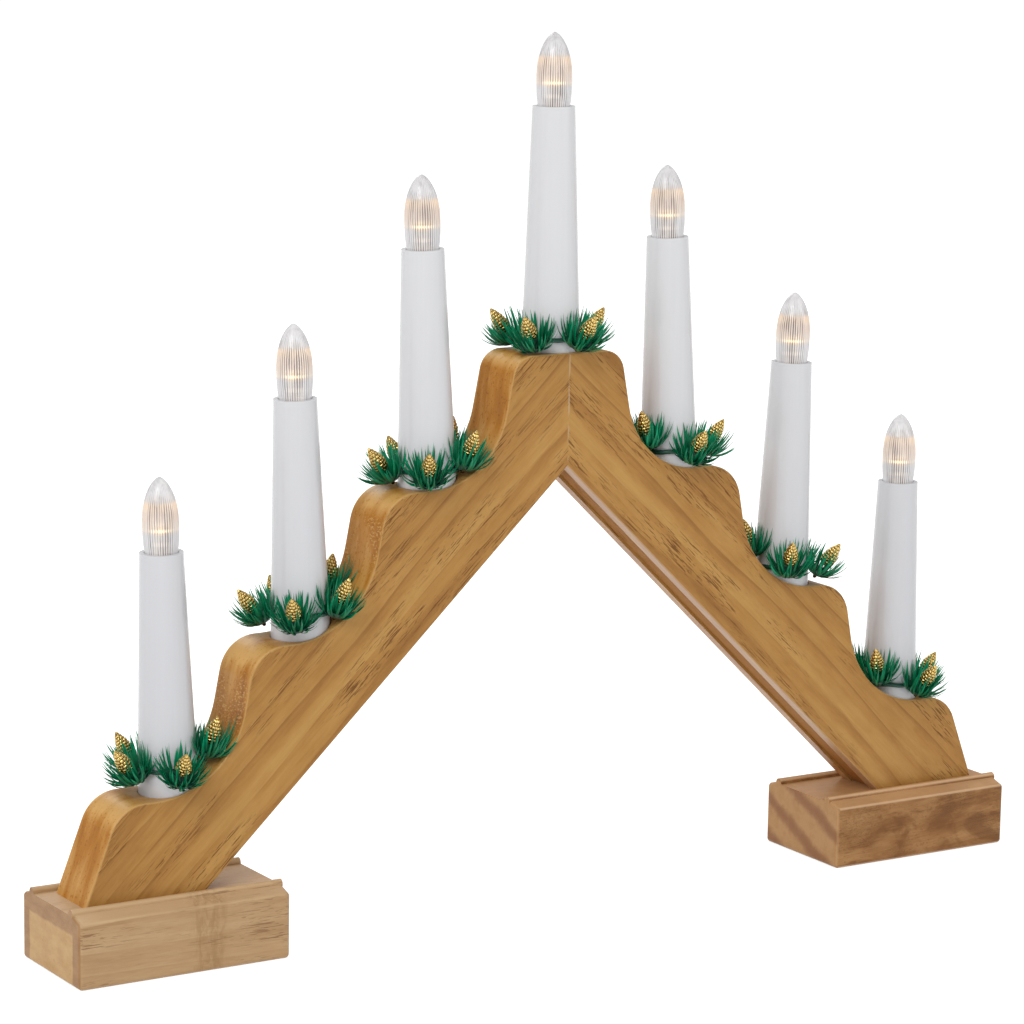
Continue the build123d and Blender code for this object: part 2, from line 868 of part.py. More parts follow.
with BuildPart() as battery_cover:
    with BuildSketch(Plane.XY.offset(box_recess)):
        with Locations((cells_middle, 0)):
            Rectangle(cells_room - 2 * cover_plate_gap, box_width - 2 * box_wall - 2 * cover_plate_gap)
    extrude(amount=cover_plate_thickness)
    with BuildSketch(Plane.XY.offset(box_recess)):
        with Locations((cells_start + finger_recess_inset + finger_recess_length / 2, 0)):
            Rectangle(finger_recess_length, finger_recess_width)
    extrude(amount=finger_recess_depth, mode=Mode.SUBTRACT)
save(battery_cover.part, "battery_cover")

with BuildPart() as battery_cells:
    for row in (-1, 1):
        start = (cells_middle - row * cell_length / 2, row * cell_spacing / 2, cell_height())
        with BuildSketch(Plane(origin=start, x_dir=(0, 0, 1), z_dir=(row, 0, 0))):
            Circle(cell_radius)
        extrude(amount=cell_length)
        with BuildSketch(Plane(origin=start, x_dir=(0, 0, 1), z_dir=(row, 0, 0)).offset(cell_length)):
            Circle(cell_nub_radius)
        extrude(amount=cell_nub_height)
save(battery_cells.part, "battery_cells")

with BuildPart() as battery_contacts:
    for row in (-1, 1):
        for end in (-1, 1):
            wall = cells_end if end > 0 else cells_start
            face = Plane(
                origin=(wall - end * contact_gap, row * cell_spacing / 2, cell_height()),
                x_dir=(0, 1, 0),
                z_dir=(-end, 0, 0),
            )
            with BuildSketch(face):
                Rectangle(contact_width, contact_height)
            extrude(amount=contact_thickness)
            nub = cell_nub_height if row == end else 0
            room = abs(wall - cells_middle) - contact_gap - contact_thickness - cell_length / 2 - nub
            tip = spring_tip_radius
            root = spring_radius if nub == 0 else cell_nub_radius
            with BuildSketch(face.offset(contact_thickness)):
                Circle(root)
            with BuildSketch(face.offset(contact_thickness + room - contact_gap)):
                Circle(tip)
            loft()
save(battery_contacts.part, "battery_contacts")

with BuildPart() as switch_body:
    with BuildSketch(Plane.XY.offset(switch_level())):
        with Locations((bay_middle, 0)):
            Rectangle(switch_bay_length - 2 * slot_gap, switch_width)
    extrude(amount=switch_height)
save(switch_body.part, "switch_body")

with BuildPart() as switch_knob:
    with BuildSketch(Plane.XY.offset(bay_floor + bay_floor_thickness + slot_gap)):
        with Locations((bay_middle, -switch_travel / 2)):
            Rectangle(knob_plate_length, knob_plate_width)
    extrude(amount=knob_plate_thickness)
    with BuildSketch(Plane.XY.offset(bay_floor + bay_floor_thickness + slot_gap)):
        with Locations((bay_middle, -switch_travel / 2)):
            Rectangle(knob_length, knob_width)
    extrude(amount=-knob_drop)
save(switch_knob.part, "switch_knob")
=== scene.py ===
import json
import bpy
import numpy as np
from mathutils import Matrix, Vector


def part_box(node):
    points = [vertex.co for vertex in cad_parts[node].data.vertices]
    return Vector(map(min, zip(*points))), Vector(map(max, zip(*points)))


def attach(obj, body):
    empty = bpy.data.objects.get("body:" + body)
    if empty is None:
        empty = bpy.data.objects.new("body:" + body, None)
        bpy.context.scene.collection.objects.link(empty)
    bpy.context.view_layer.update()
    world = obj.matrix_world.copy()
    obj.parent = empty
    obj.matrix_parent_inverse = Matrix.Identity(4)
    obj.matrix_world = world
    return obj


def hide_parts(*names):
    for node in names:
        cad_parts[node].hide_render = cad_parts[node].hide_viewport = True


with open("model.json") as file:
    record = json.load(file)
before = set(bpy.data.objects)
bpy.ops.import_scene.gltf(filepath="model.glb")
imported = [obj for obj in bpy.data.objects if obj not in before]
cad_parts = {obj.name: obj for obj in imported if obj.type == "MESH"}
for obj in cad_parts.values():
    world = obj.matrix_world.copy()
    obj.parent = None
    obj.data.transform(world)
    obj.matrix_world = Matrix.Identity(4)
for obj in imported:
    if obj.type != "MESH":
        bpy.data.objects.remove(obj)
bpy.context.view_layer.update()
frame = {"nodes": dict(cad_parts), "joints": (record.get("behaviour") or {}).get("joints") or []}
print("frame loaded:", len(frame["nodes"]), "nodes")

mm = 0.001
rng = np.random.default_rng(7)


# small helpers for shader maths
class Value:
    # a socket that can be used in a Python expression
    def __init__(self, look, socket):
        self.look = look
        self.socket = socket

    def math(self, operation, first, second=0.0):
        return self.look.node("ShaderNodeMath", {"operation": operation}, {0: first, 1: second})

    def __add__(self, other):
        return self.math("ADD", self, other)

    def __radd__(self, other):
        return self.math("ADD", other, self)

    def __sub__(self, other):
        return self.math("SUBTRACT", self, other)

    def __rsub__(self, other):
        return self.math("SUBTRACT", other, self)

    def __mul__(self, other):
        return self.math("MULTIPLY", self, other)

    def __rmul__(self, other):
        return self.math("MULTIPLY", other, self)

    def __truediv__(self, other):
        return self.math("DIVIDE", self, other)

    def __rtruediv__(self, other):
        return self.math("DIVIDE", other, self)

    def __neg__(self):
        return self.math("MULTIPLY", self, -1.0)

    def __abs__(self):
        return self.math("ABSOLUTE", self)

    def atLeast(self, other):
        return self.math("MAXIMUM", self, other)

    def atMost(self, other):
        return self.math("MINIMUM", self, other)


class Look:
    # one material, its nodes added by node()
    def __init__(self, name):
        self.material = bpy.data.materials.new(name)
        self.material.use_nodes = True
        self.tree = self.material.node_tree
        self.tree.nodes.clear()

    def node(self, kind, settings=None, sockets=None, output=0):
        made = self.tree.nodes.new(kind)
        for key, setting in (settings or {}).items():
            if key == "stops":
                ramp = made.color_ramp
                while len(ramp.elements) < len(setting):
                    ramp.elements.new(0.5)
                for element, (place, colour) in zip(ramp.elements, setting):
                    element.position = place
                    element.color = (*colour, 1.0)
            else:
                setattr(made, key, setting)
        for key, given in (sockets or {}).items():
            socket = made.inputs[key]
            if isinstance(given, Value):
                self.tree.links.new(given.socket, socket)
            elif isinstance(given, tuple) and len(given) == 3 and socket.type == "RGBA":
                socket.default_value = (*given, 1.0)
            else:
                socket.default_value = given
        return Value(self, made.outputs[output])

    def place(self, turn=(0, 0, 0), offset=(0, 0, 0)):
        # object coordinates in millimetres, turned about the axes by degrees
        coordinates = self.node("ShaderNodeTexCoord", output="Object")
        return self.node("ShaderNodeMapping", {}, {
            "Vector": coordinates, "Scale": (1000, 1000, 1000),
            "Rotation": tuple(np.radians(turn)), "Location": offset})

    def split(self, vector):
        made = self.node("ShaderNodeSeparateXYZ", {}, {0: vector})
        outputs = made.socket.node.outputs
        return [Value(self, outputs[index]) for index in range(3)]

    def noise(self, vector, cycles, detail=2.0, roughness=0.5, distortion=0.0):
        # cycles: how many times the noise repeats in a millimetre, along each axis
        stretched = self.node("ShaderNodeVectorMath", {"operation": "MULTIPLY"}, {0: vector, 1: cycles})
        return self.node("ShaderNodeTexNoise", {}, {
            "Vector": stretched, "Scale": 1.0, "Detail": detail, "Roughness": roughness,
            "Distortion": distortion})

    def step(self, value, low, high):
        # 0 below low, 1 above high, smooth in between
        return self.node("ShaderNodeMapRange", {"interpolation_type": "SMOOTHSTEP"}, {
            "Value": value, "From Min": low, "From Max": high})

    def band(self, value, start, full, fading, gone):
        # 0 up to start, 1 from full to fading, and 0 again past gone
        return self.step(value, start, full) * (1 - self.step(value, fading, gone))

    def mix(self, factor, first, second, mode="MIX"):
        return self.node("ShaderNodeMix", {"data_type": "RGBA", "blend_type": mode},
                         {0: factor, 6: first, 7: second}, output=2)

    def bump(self, height, strength, distance):
        return self.node("ShaderNodeBump", {}, {"Height": height, "Strength": strength, "Distance": distance})

    def finish(self, varying, fixed):
        # varying: sockets fed by nodes; fixed: plain numbers set on the shader itself
        shader = self.tree.nodes.new("ShaderNodeBsdfPrincipled")
        for key, given in fixed.items():
            socket = shader.inputs[key]
            socket.default_value = (*given, 1.0) if socket.type == "RGBA" else given
        for key, given in varying.items():
            self.tree.links.new(given.socket, shader.inputs[key])
        output = self.tree.nodes.new("ShaderNodeOutputMaterial")
        self.tree.links.new(shader.outputs[0], output.inputs["Surface"])
        return self.material


# small helpers for meshes
def gridFaces(rows, columns, closeRows=False, closeColumns=False):
    # quads of a grid of points, row by row; a closed direction joins its last line to its first
    rowIndex, columnIndex = np.meshgrid(
        np.arange(rows if closeRows else rows - 1),
        np.arange(columns if closeColumns else columns - 1), indexing="ij")
    nextRow = (rowIndex + 1) % rows
    nextColumn = (columnIndex + 1) % columns
    return np.stack([
        rowIndex * columns + columnIndex, rowIndex * columns + nextColumn,
        nextRow * columns + nextColumn, nextRow * columns + columnIndex], axis=-1).reshape(-1, 4)


def poleFaces(rows, columns):
    # triangles that close a grid at both ends. The low pole is the first point after the grid and the high
    # pole the second
    ring = np.arange(columns)
    following = (ring + 1) % columns
    count = rows * columns
    last = count - columns
    low = np.stack([following, ring, np.full(columns, count)], axis=-1)
    high = np.stack([last + ring, last + following, np.full(columns, count + 1)], axis=-1)
    return np.concatenate([low, high])


def makeMesh(name, points, quads, triangles=None, uv=None, tint=None, smooth=True):
    # points (n, 3); quads (m, 4); triangles (k, 3); uv and tint are given point by point
    triangles = np.zeros((0, 3), int) if triangles is None else triangles
    mesh = bpy.data.meshes.new(name)
    corners = np.concatenate([quads.ravel(), triangles.ravel()]).astype(np.int32)
    mesh.vertices.add(len(points))
    mesh.vertices.foreach_set("co", points.astype(np.float32).ravel())
    mesh.loops.add(len(corners))
    mesh.loops.foreach_set("vertex_index", corners)
    mesh.polygons.add(len(quads) + len(triangles))
    sizes = np.concatenate([np.full(len(quads), 4), np.full(len(triangles), 3)])
    starts = np.concatenate([[0], np.cumsum(sizes)[:-1]]).astype(np.int32)
    mesh.polygons.foreach_set("loop_start", starts)
    mesh.polygons.foreach_set("use_smooth", np.full(len(sizes), smooth))
    mesh.update(calc_edges=True)
    mesh.validate()
    if uv is not None:
        layer = mesh.uv_layers.new(name="shape")
        layer.data.foreach_set("uv", uv[corners].astype(np.float32).ravel())
    if tint is not None:
        layer = mesh.attributes.new("tint", "FLOAT", "POINT")
        layer.data.foreach_set("value", tint.astype(np.float32))
    thing = bpy.data.objects.new(name, mesh)
    bpy.context.scene.collection.objects.link(thing)
    return thing


def meshPoints(thing):
    # corner points of a mesh, (n, 3)
    points = np.zeros(len(thing.data.vertices) * 3, np.float32)
    thing.data.vertices.foreach_get("co", points)
    return points.reshape(-1, 3).astype(float)


def dress(thing, material):
    thing.data.materials.clear()
    thing.data.materials.append(material)
    return thing


# where the candles stand
candles = {
    "middle": 4,
    "pitch": 52.3 * mm,
    "shifts": (2.0 * mm, 1.7 * mm, 0.4 * mm, -0.8 * mm, 0.0 * mm, 0.5 * mm, 2.2 * mm),
    "footHeights": (55.5 * mm, 105.5 * mm, 155.5 * mm, 204.5 * mm, 155.5 * mm, 105.5 * mm, 55.5 * mm),
    "seatDepths": (4 * mm, 4 * mm, 4 * mm, 1 * mm, 4 * mm, 4 * mm, 4 * mm),
    "bottomRadius": 10.8 * mm,
    "topRadius": 7.7 * mm,
    "length": 89 * mm,
    # the coves up to the next step: their radii, and how far outboard of the candle's place they start
    "coveRadii": (34.5 * mm, 34.5 * mm, 30.5 * mm, None, 30.5 * mm, 34.5 * mm, 34.5 * mm),
    "coveStarts": (8.26 * mm, 8.26 * mm, 4.18 * mm, None, 4.18 * mm, 8.26 * mm, 8.26 * mm),
    "boardHalf": 12 * mm,
}
candleNumbers = range(1, len(candles["shifts"]) + 1)
jointAxes = {joint["name"]: np.array(joint["axis"], float) for joint in frame["joints"]}


def candleFrame(number):
    # foot point, axis, level direction along the arch, level direction to the back
    across = candles["pitch"] * (number - candles["middle"]) + candles["shifts"][number - 1]
    foot = np.array([across, 0, candles["footHeights"][number - 1]])
    up = jointAxes[f"wreath_{number}_lift"]
    up = up / np.linalg.norm(up)
    along = np.array([up[2], 0, -up[0]])
    return foot, up, along, np.cross(up, along)


def toFrame(number, local):
    # from a candle's own coordinates to the row frame
    foot, up, along, back = candleFrame(number)
    return foot + local[:, 0:1] * along + local[:, 1:2] * back + local[:, 2:3] * up


def toCandle(number, points):
    # from the row frame to a candle's own coordinates
    foot, up, along, back = candleFrame(number)
    away = points - foot
    return np.stack([away @ along, away @ back, away @ up], axis=1)


def woodHeight(number, points):
    # height of the wood under each point: the level seat, then the cove's arc up towards the centre
    seat = candles["footHeights"][number - 1] + candles["seatDepths"][number - 1]
    steps = number - candles["middle"]
    if steps == 0:
        return np.full(len(points), seat)
    radius = candles["coveRadii"][number - 1]
    inboard = -np.sign(steps) * (points[:, 0] - candles["pitch"] * steps)
    into = np.clip(inboard + candles["coveStarts"][number - 1], 0, radius * 0.98)  # just short of upright
    return seat + radius - np.sqrt(radius**2 - into**2)


# wood
archWood = {
    "light": (0.533, 0.302, 0.090),
    "middle": (0.428, 0.214, 0.055),
    "dark": (0.235, 0.092, 0.019),
    "dash": (0.110, 0.034, 0.007),
    "ringWidth": 7.5,
    "sway": 3.2,
    "bands": 0.85,
    "cloud": 0.50,
    "fineness": 0.16,
    "lineAmount": 0.42,
    "dashAmount": 0.92,
    "gather": (0.49, 0.60),
    "cutLight": (0.665, 0.372, 0.112),
    "cutMiddle": (0.450, 0.174, 0.014),
    "cutDark": (0.255, 0.076, 0.004),
    # painted highlight for the rounded edges
    "wearAndHighlight": (0.640, 0.420, 0.180),
    "fleck": (0.72, 0.46, 0.15),
    "glue": (0.58, 0.45, 0.30),
    "sheen": (0.620, 0.440, 0.290),
    "sheenDark": (0.470, 0.300, 0.190),
    # painted shade of the recessed duct covers
    "ductShade": (0.94, 0.84, 0.90),
    "turn": 43.5,  # degrees that the grain of each arm rises
    "coveSpan": (40, 55, 150, 160),  # mm from the apex between which the coves show flecks
}
leftFootWood = {
    "light": (0.575, 0.398, 0.220),
    "middle": (0.478, 0.304, 0.156),
    "dark": (0.335, 0.182, 0.080),
    "dash": (0.165, 0.070, 0.026),
    "ringWidth": 9.0,
    "sway": 2.0,
    "bands": 0.75,
    "cloud": 0.50,
    "fineness": 0.30,
    "lineAmount": 0.35,
    "dashAmount": 0.78,
    "gather": (0.41, 0.53),
    # painted light for the upward faces
    "top": (0.560, 0.370, 0.205),
    "cutLight": (0.600, 0.378, 0.165),
    "cutDark": (0.520, 0.302, 0.118),
    "shellLight": (0.425, 0.240, 0.106),
    "shellDark": (0.335, 0.172, 0.070),
    "shellWidth": 5.8,
    "patch": (0.330, 0.185, 0.080),
    "patchSpan": (-159.0, -153.5, -147.0, -142.0),  # mm along the arch: starts, full, fades, gone
    "speck": (0.36, 0.15, 0.04),
    # painted highlight for the rounded edges
    "wearAndHighlight": (0.640, 0.450, 0.250),
}
rightFootWood = {
    "light": (0.430, 0.228, 0.088),
    "middle": (0.305, 0.142, 0.046),
    "dark": (0.180, 0.068, 0.018),
    "dash": (0.050, 0.018, 0.006),
    "ringWidth": 11.0,
    "sway": 3.0,
    "bands": 0.30,
    "cloud": 1.10,
    "fineness": 0.40,
    "lineAmount": 0.10,
    "dashAmount": 0.40,
    "gather": (0.42, 0.54),
    "cutLight": (0.475, 0.262, 0.110),
    "cutDark": (0.280, 0.122, 0.050),
    # painted light for the upward faces
    "top": (0.600, 0.345, 0.165),
    "bandOffset": 6.9,  # mm
    "bandRate": 0.462,  # radians per mm, a dark band every 13.6 mm
    # painted highlight for the rounded edges
    "wearAndHighlight": (0.700, 0.460, 0.270),
}
grainDepth = 0.22 * mm
varnish = {"IOR": 1.45, "Specular IOR Level": 0.20, "Coat Weight": 0.05, "Coat Roughness": 0.18}


def woodLook(name, wood, turn, seed):
    # pine, its first coordinate along the grain. Rings are a saw-tooth of the distance across the board, bent
    # by a slow noise; each darkens to a thin line at its end, and only stretches of the lines are seen. Wide
    # bands, soft mottle and fibre are added to the tone. Short sharp dashes and fine pores come last,
    # gathered in clusters, of which there are more near the apex
    look = Look(name)
    place = look.place(turn=(0, turn, 0), offset=(seed, 0, 0))
    depth, across = look.split(place)[1:]
    swayField = look.noise(place, (0.0045, 0.030, 0.045), 2.0, 0.5)
    phase = across / wood["ringWidth"] + depth * 0.02 + swayField * wood["sway"]
    ring = phase.math("FRACT", phase)
    late = look.band(ring, 0.30, 0.93, 0.955, 1.0)
    line = look.band(ring, 0.84, 0.95, 0.960, 0.995)
    shown = look.step(look.noise(place, (0.010, 0.045, 0.11), 2.0), 0.46, 0.60)
    bands = look.noise(place, (0.006, 0.055, 0.10), 2.0, 0.5)
    mottle = look.noise(place, (0.060, 0.20, 0.24), 3.0, 0.6, 0.4)
    fibre = look.noise(place, (0.050, 0.95, 1.05), 2.0, 0.5)
    fine = look.noise(place, (0.25, 3.5, 3.5), 2.0, 0.6)
    tone = (0.40 + (bands - 0.5) * wood["bands"] + (mottle - 0.5) * wood["cloud"] + (fibre - 0.5) * 0.26
            + (fine - 0.5) * wood["fineness"] + late * 0.14)
    colour = look.node("ShaderNodeValToRGB", {"stops": [
        (0.12, wood["light"]), (0.48, wood["middle"]), (0.95, wood["dark"])]}, {0: tone})
    fromApex = abs(look.split(look.place())[0])
    nearApex = 1 - look.step(fromApex, 20, 95)
    cluster = look.noise(place, (0.017, 0.060, 0.095), 2.0) + nearApex * 0.075
    dashField = look.noise(place, (0.120, 1.30, 2.30), 1.0, 0.4)
    shortField = look.noise(place, (0.28, 1.80, 2.60), 1.0, 0.4)
    gathered = look.step(cluster, *wood["gather"])
    dashes = look.step(dashField, 0.615, 0.660) * gathered
    pores = look.step(shortField, 0.640, 0.70) * gathered
    marks = dashes.atLeast(pores * 0.7) * wood["dashAmount"]
    colour = look.mix(line * shown * wood["lineAmount"], colour, wood["dark"])
    colour = look.mix(marks * 0.80, colour, wood["dash"])
    relief = (fibre - 0.5) * 0.5 + (fine - 0.5) * 0.3 - marks * 0.8
    rough = 0.42 + (fibre - 0.5) * 0.16 + marks * 0.18 + (mottle - 0.5) * 0.14
    return look, colour, rough, relief


def faceSides(look):
    # how far a face looks along the arch, to the back and upwards
    return look.split(look.node("ShaderNodeTexCoord", output="Normal"))


def roundedEdgeShare(look, sides):
    # 1 where a rounded edge lies between two of the faces, 0 on the faces themselves
    lengthwise, sideways, upright = [abs(side) for side in sides]
    return 1 - look.step(lengthwise.atLeast(sideways).atLeast(upright), 0.80, 0.985)


def archMaterial(name, turn, seed):
    look, colour, rough, relief = woodLook(name, archWood, turn, seed)
    straight = look.place()
    tilted = look.place(turn=(6, 9, 4))
    x, y = look.split(straight)[:2]
    sideX, sideY, sideZ = faceSides(look)
    cut = 1 - look.step(abs(sideY), 0.35, 0.85)  # 0 on the board's front and back, 1 where it is sawn across
    # sawn faces: orange brown in soft upright streaks and clouds, golden where they round over into the
    # seats:
    # partly wear, partly painted highlight on faces that turn upwards
    streak = look.noise(tilted, (0.05, 0.34, 0.045), 3.0, 0.55, 0.5)
    stain = look.noise(tilted, (0.045, 0.10, 0.045), 2.0, 0.5, 0.3)
    pin = look.noise(tilted, (0.9, 0.9, 0.9), 2.0, 0.5)
    chatter = look.noise(tilted, (0.8, 0.70, 1.8), 2.0, 0.5)
    # painted highlight: the sawn faces are lighter near the front and back
    rim = look.step(abs(y), 9.0, 12.2)
    # partly wear, partly painted highlight: lighter where the face turns upwards, less so on the flat seats
    shoulderWearAndHighlight = look.step(sideZ, 0.25, 0.75) * (1 - look.step(sideZ, 0.90, 1.0) * 0.55)
    cutTone = 0.50 + (streak - 0.5) * 0.55 + (stain - 0.5) * 1.15 - rim * 0.16 - shoulderWearAndHighlight * 0.42
    cutTone = cutTone + look.step(pin, 0.58, 0.70) * 0.24
    steep = look.step(abs(sideX), 0.88, 0.98)
    fromApex = abs(x)
    coves = look.band(fromApex, *archWood["coveSpan"])
    wearAndHighlight = look.step(chatter, 0.52, 0.64) * look.step(stain, 0.42, 0.52) * steep * coves
    cutColour = look.node("ShaderNodeValToRGB", {"stops": [
        (0.05, archWood["cutLight"]), (0.50, archWood["cutMiddle"]),
        (0.95, archWood["cutDark"])]}, {0: cutTone})
    cutColour = look.mix(wearAndHighlight * 0.55, cutColour, archWood["fleck"])
    colour = look.mix(cut, colour, cutColour)
    # painted highlight: a paler edge between the sawn faces and the front and back
    edge = look.band(abs(sideY), 0.10, 0.40, 0.80, 0.98)
    colour = look.mix(edge * 0.34, colour, archWood["wearAndHighlight"])
    # painted sheen: the underside is paler and pinkish, most of all towards the front
    under = look.step(-sideZ, 0.25, 0.60)
    near = 0.35 + (1 - look.step(y, -4, 4)) * 0.20
    colour = look.mix(under * near, colour, look.mix(streak, archWood["sheen"], archWood["sheenDark"]))
    # the pale glue line of the mitre
    smear = look.noise(straight, (0.8, 0.8, 0.16), 2.0)
    seam = (1 - look.step(abs(x), 0.10, 0.55)) * look.step(smear, 0.40, 0.62)
    colour = look.mix(seam * 0.50, colour, archWood["glue"])
    normal = look.bump(relief * (1 - cut) + (streak * 0.4 + chatter * 0.5) * cut, 0.40, grainDepth)
    return look.finish({"Base Color": colour, "Roughness": rough - cut * 0.08, "Normal": normal}, varnish)


def leftFootMaterial():
    # long grain; seen on the end, a paler panel inside a brown growth ring
    look, colour, rough, relief = woodLook("palePine", leftFootWood, 0, 11)
    straight = look.place()
    x, y, z = look.split(straight)
    waver = look.noise(straight, (0.05, 0.14, 0.14), 2.0)
    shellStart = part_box("left_foot")[1][1] / mm - leftFootWood["shellWidth"]
    sideways = abs(y) + (waver - 0.5) * 1.2
    shellSide = look.step(sideways, shellStart - 0.4, shellStart + 0.4)
    shell = shellSide.atLeast(look.step(z + (waver - 0.5) * 1.4, 17.8, 19.0))
    core = look.noise(straight, (0.4, 0.10, 0.22), 4.0, 0.6)
    specks = look.noise(straight, (0.8, 0.55, 0.8), 2.0)
    sideX, sideY, sideZ = faceSides(look)
    onEnd = look.step(abs(sideX), 0.55, 0.9)
    panel = look.mix(look.step(core, 0.3, 0.7), leftFootWood["cutLight"], leftFootWood["cutDark"])
    panel = look.mix(look.step(specks, 0.62, 0.72) * 0.30, panel, leftFootWood["speck"])
    band = look.mix(look.step(core, 0.3, 0.7), leftFootWood["shellLight"], leftFootWood["shellDark"])
    # painted light: faces that look upwards are lighter
    colour = look.mix(look.step(sideZ, 0.75, 0.97) * 0.75, colour, leftFootWood["top"])
    colour = look.mix(onEnd, colour, look.mix(shell, panel, band))
    # darker patch across the front, two thirds of the way along, in upright strokes
    edge = (waver - 0.5) * 5
    start, full, fading, gone = leftFootWood["patchSpan"]
    patch = look.step(x + edge, start, full) * (1 - look.step(x + edge * 1.4, fading, gone))
    strokes = look.noise(straight, (0.50, 0.30, 0.14), 4.0, 0.65, 0.8)
    patch = patch * look.step(strokes, 0.36, 0.66) * (1 - onEnd)
    colour = look.mix(patch * 0.60, colour, leftFootWood["patch"])
    # painted highlight on the rounded edges, except round the ends
    level = 1 - look.step(abs(sideX), 0.10, 0.35)
    colour = look.mix(roundedEdgeShare(look, (sideX, sideY, sideZ)) * level * 0.50, colour, leftFootWood["wearAndHighlight"])
    normal = look.bump(relief, 0.40, grainDepth)
    return look.finish({"Base Color": colour, "Roughness": rough, "Normal": normal}, varnish)


def rightFootMaterial():
    # cloudy brown pine with fine dark cracks; slanting dark bands on the end
    look, colour, rough, relief = woodLook("brownPine", rightFootWood, 4, 23)
    straight = look.place()
    y, z = look.split(straight)[1:]
    waver = look.noise(straight, (0.03, 0.045, 0.045), 2.0)
    slant = z * 0.89 - y * 0.45 + (waver - 0.5) * 7
    wave = slant.math("COSINE", (slant - rightFootWood["bandOffset"]) * rightFootWood["bandRate"])
    sideX, sideY, sideZ = faceSides(look)
    onEnd = look.step(abs(sideX), 0.55, 0.9)
    grain = look.noise(straight, (0.5, 0.30, 0.30), 4.0, 0.6)
    bands = look.step(wave + (grain - 0.5) * 0.9, -0.35, 1.15)
    endTone = look.mix(bands, rightFootWood["cutLight"], rightFootWood["cutDark"])
    endTone = look.mix(look.step(grain, 0.35, 0.75) * 0.30, endTone, rightFootWood["middle"])
    # the front is burr-like: clouds, a few dark curls, fine cracks and pin-point pores
    figure = look.noise(straight, (0.045, 0.05, 0.070), 3.0, 0.55, 1.4)
    colour = look.mix(look.step(figure, 0.50, 0.66) * 0.70, colour, rightFootWood["dark"])
    colour = look.mix((1 - look.step(figure, 0.32, 0.50)) * 0.60, colour, rightFootWood["light"])
    crackField = look.noise(straight, (0.16, 0.4, 0.45), 4.0, 0.7, 2.5)
    crack = 1 - look.step(abs(crackField - 0.5), 0.004, 0.020)
    crack = crack * look.step(look.noise(straight, (0.035, 0.05, 0.06), 1.0), 0.50, 0.60)
    pin = look.noise(straight, (0.7, 0.8, 1.0), 2.0)
    colour = look.mix(crack * 0.60, colour, rightFootWood["dash"])
    colour = look.mix(look.step(pin, 0.58, 0.72) * 0.40, colour, rightFootWood["dark"])
    # painted light: faces that look upwards are lighter
    colour = look.mix(look.step(sideZ, 0.55, 0.90) * 0.60, colour, rightFootWood["top"])
    colour = look.mix(onEnd, colour, endTone)
    # painted highlight on the rounded edges, fainter round the ends
    level = 1 - look.step(abs(sideX), 0.10, 0.35)
    wearAndHighlight = roundedEdgeShare(look, (sideX, sideY, sideZ)) * (0.20 + level * 0.50)
    colour = look.mix(wearAndHighlight, colour, rightFootWood["wearAndHighlight"])
    normal = look.bump(relief + pin * 0.3, 0.40, grainDepth)
    return look.finish({"Base Color": colour, "Roughness": rough, "Normal": normal}, varnish)


def ductCoverMaterial(name, turn):
    # the arms' wood in an even tone, darkened by painted shade, and without varnish
    look, colour, rough, relief = woodLook(name, archWood, turn, 31)
    # painted shade: the recessed cover is darkened all over
    darker = look.mix(1.0, look.mix(0.6, colour, archWood["middle"]), archWood["ductShade"], "MULTIPLY")
    normal = look.bump(relief, 0.5, 0.3 * mm)
    return look.finish({"Base Color": darker, "Roughness": rough + 0.25, "Normal": normal},
                       {"IOR": 1.45, "Specular IOR Level": 0.12})


nodes = frame["nodes"]
dress(nodes["left_arm"], archMaterial("honeyPineLeft", archWood["turn"], 3))
dress(nodes["right_arm"], archMaterial("honeyPineRight", -archWood["turn"], 57))
dress(nodes["left_foot"], leftFootMaterial())
dress(nodes["right_foot"], rightFootMaterial())
dress(nodes["left_duct_cover"], ductCoverMaterial("ductPineLeft", archWood["turn"]))
dress(nodes["right_duct_cover"], ductCoverMaterial("ductPineRight", -archWood["turn"]))
print("wood done")


# plastic, metal and wires
def plasticMaterial(name, colour, roughness, mottle, grain=0.0, streak=(1, 1, 1)):
    # moulded plastic: slight mottling of tone and gloss, and a fine grain
    look = Look(name)
    place = look.place()
    flow = look.noise(place, tuple(0.35 * s for s in streak), 3.0)
    fineGrain = look.noise(place, (9, 9, 9), 2.0)
    tone = look.mix(flow, tuple(c * (1 - mottle) for c in colour), tuple(c * (1 + mottle) for c in colour))
    rough = roughness + (flow - 0.5) * 0.12 + (fineGrain - 0.5) * 0.08
    normal = look.bump(fineGrain, 0.05 + grain, 0.04 * mm)
    return look.finish({"Base Color": tone, "Roughness": rough, "Normal": normal}, {"IOR": 1.47})


tubes = {
    # painted shade: the tubes are greyer low down, with the lighter tones from the second height up
    "shadedTones": ((0.612, 0.615, 0.642), (0.640, 0.643, 0.668)),
    "unshadedTones": ((0.705, 0.708, 0.724), (0.735, 0.738, 0.752)),
    "shadeFullBelow": 70,  # mm above the standing surface
    "shadeGoneAbove": 290,
}


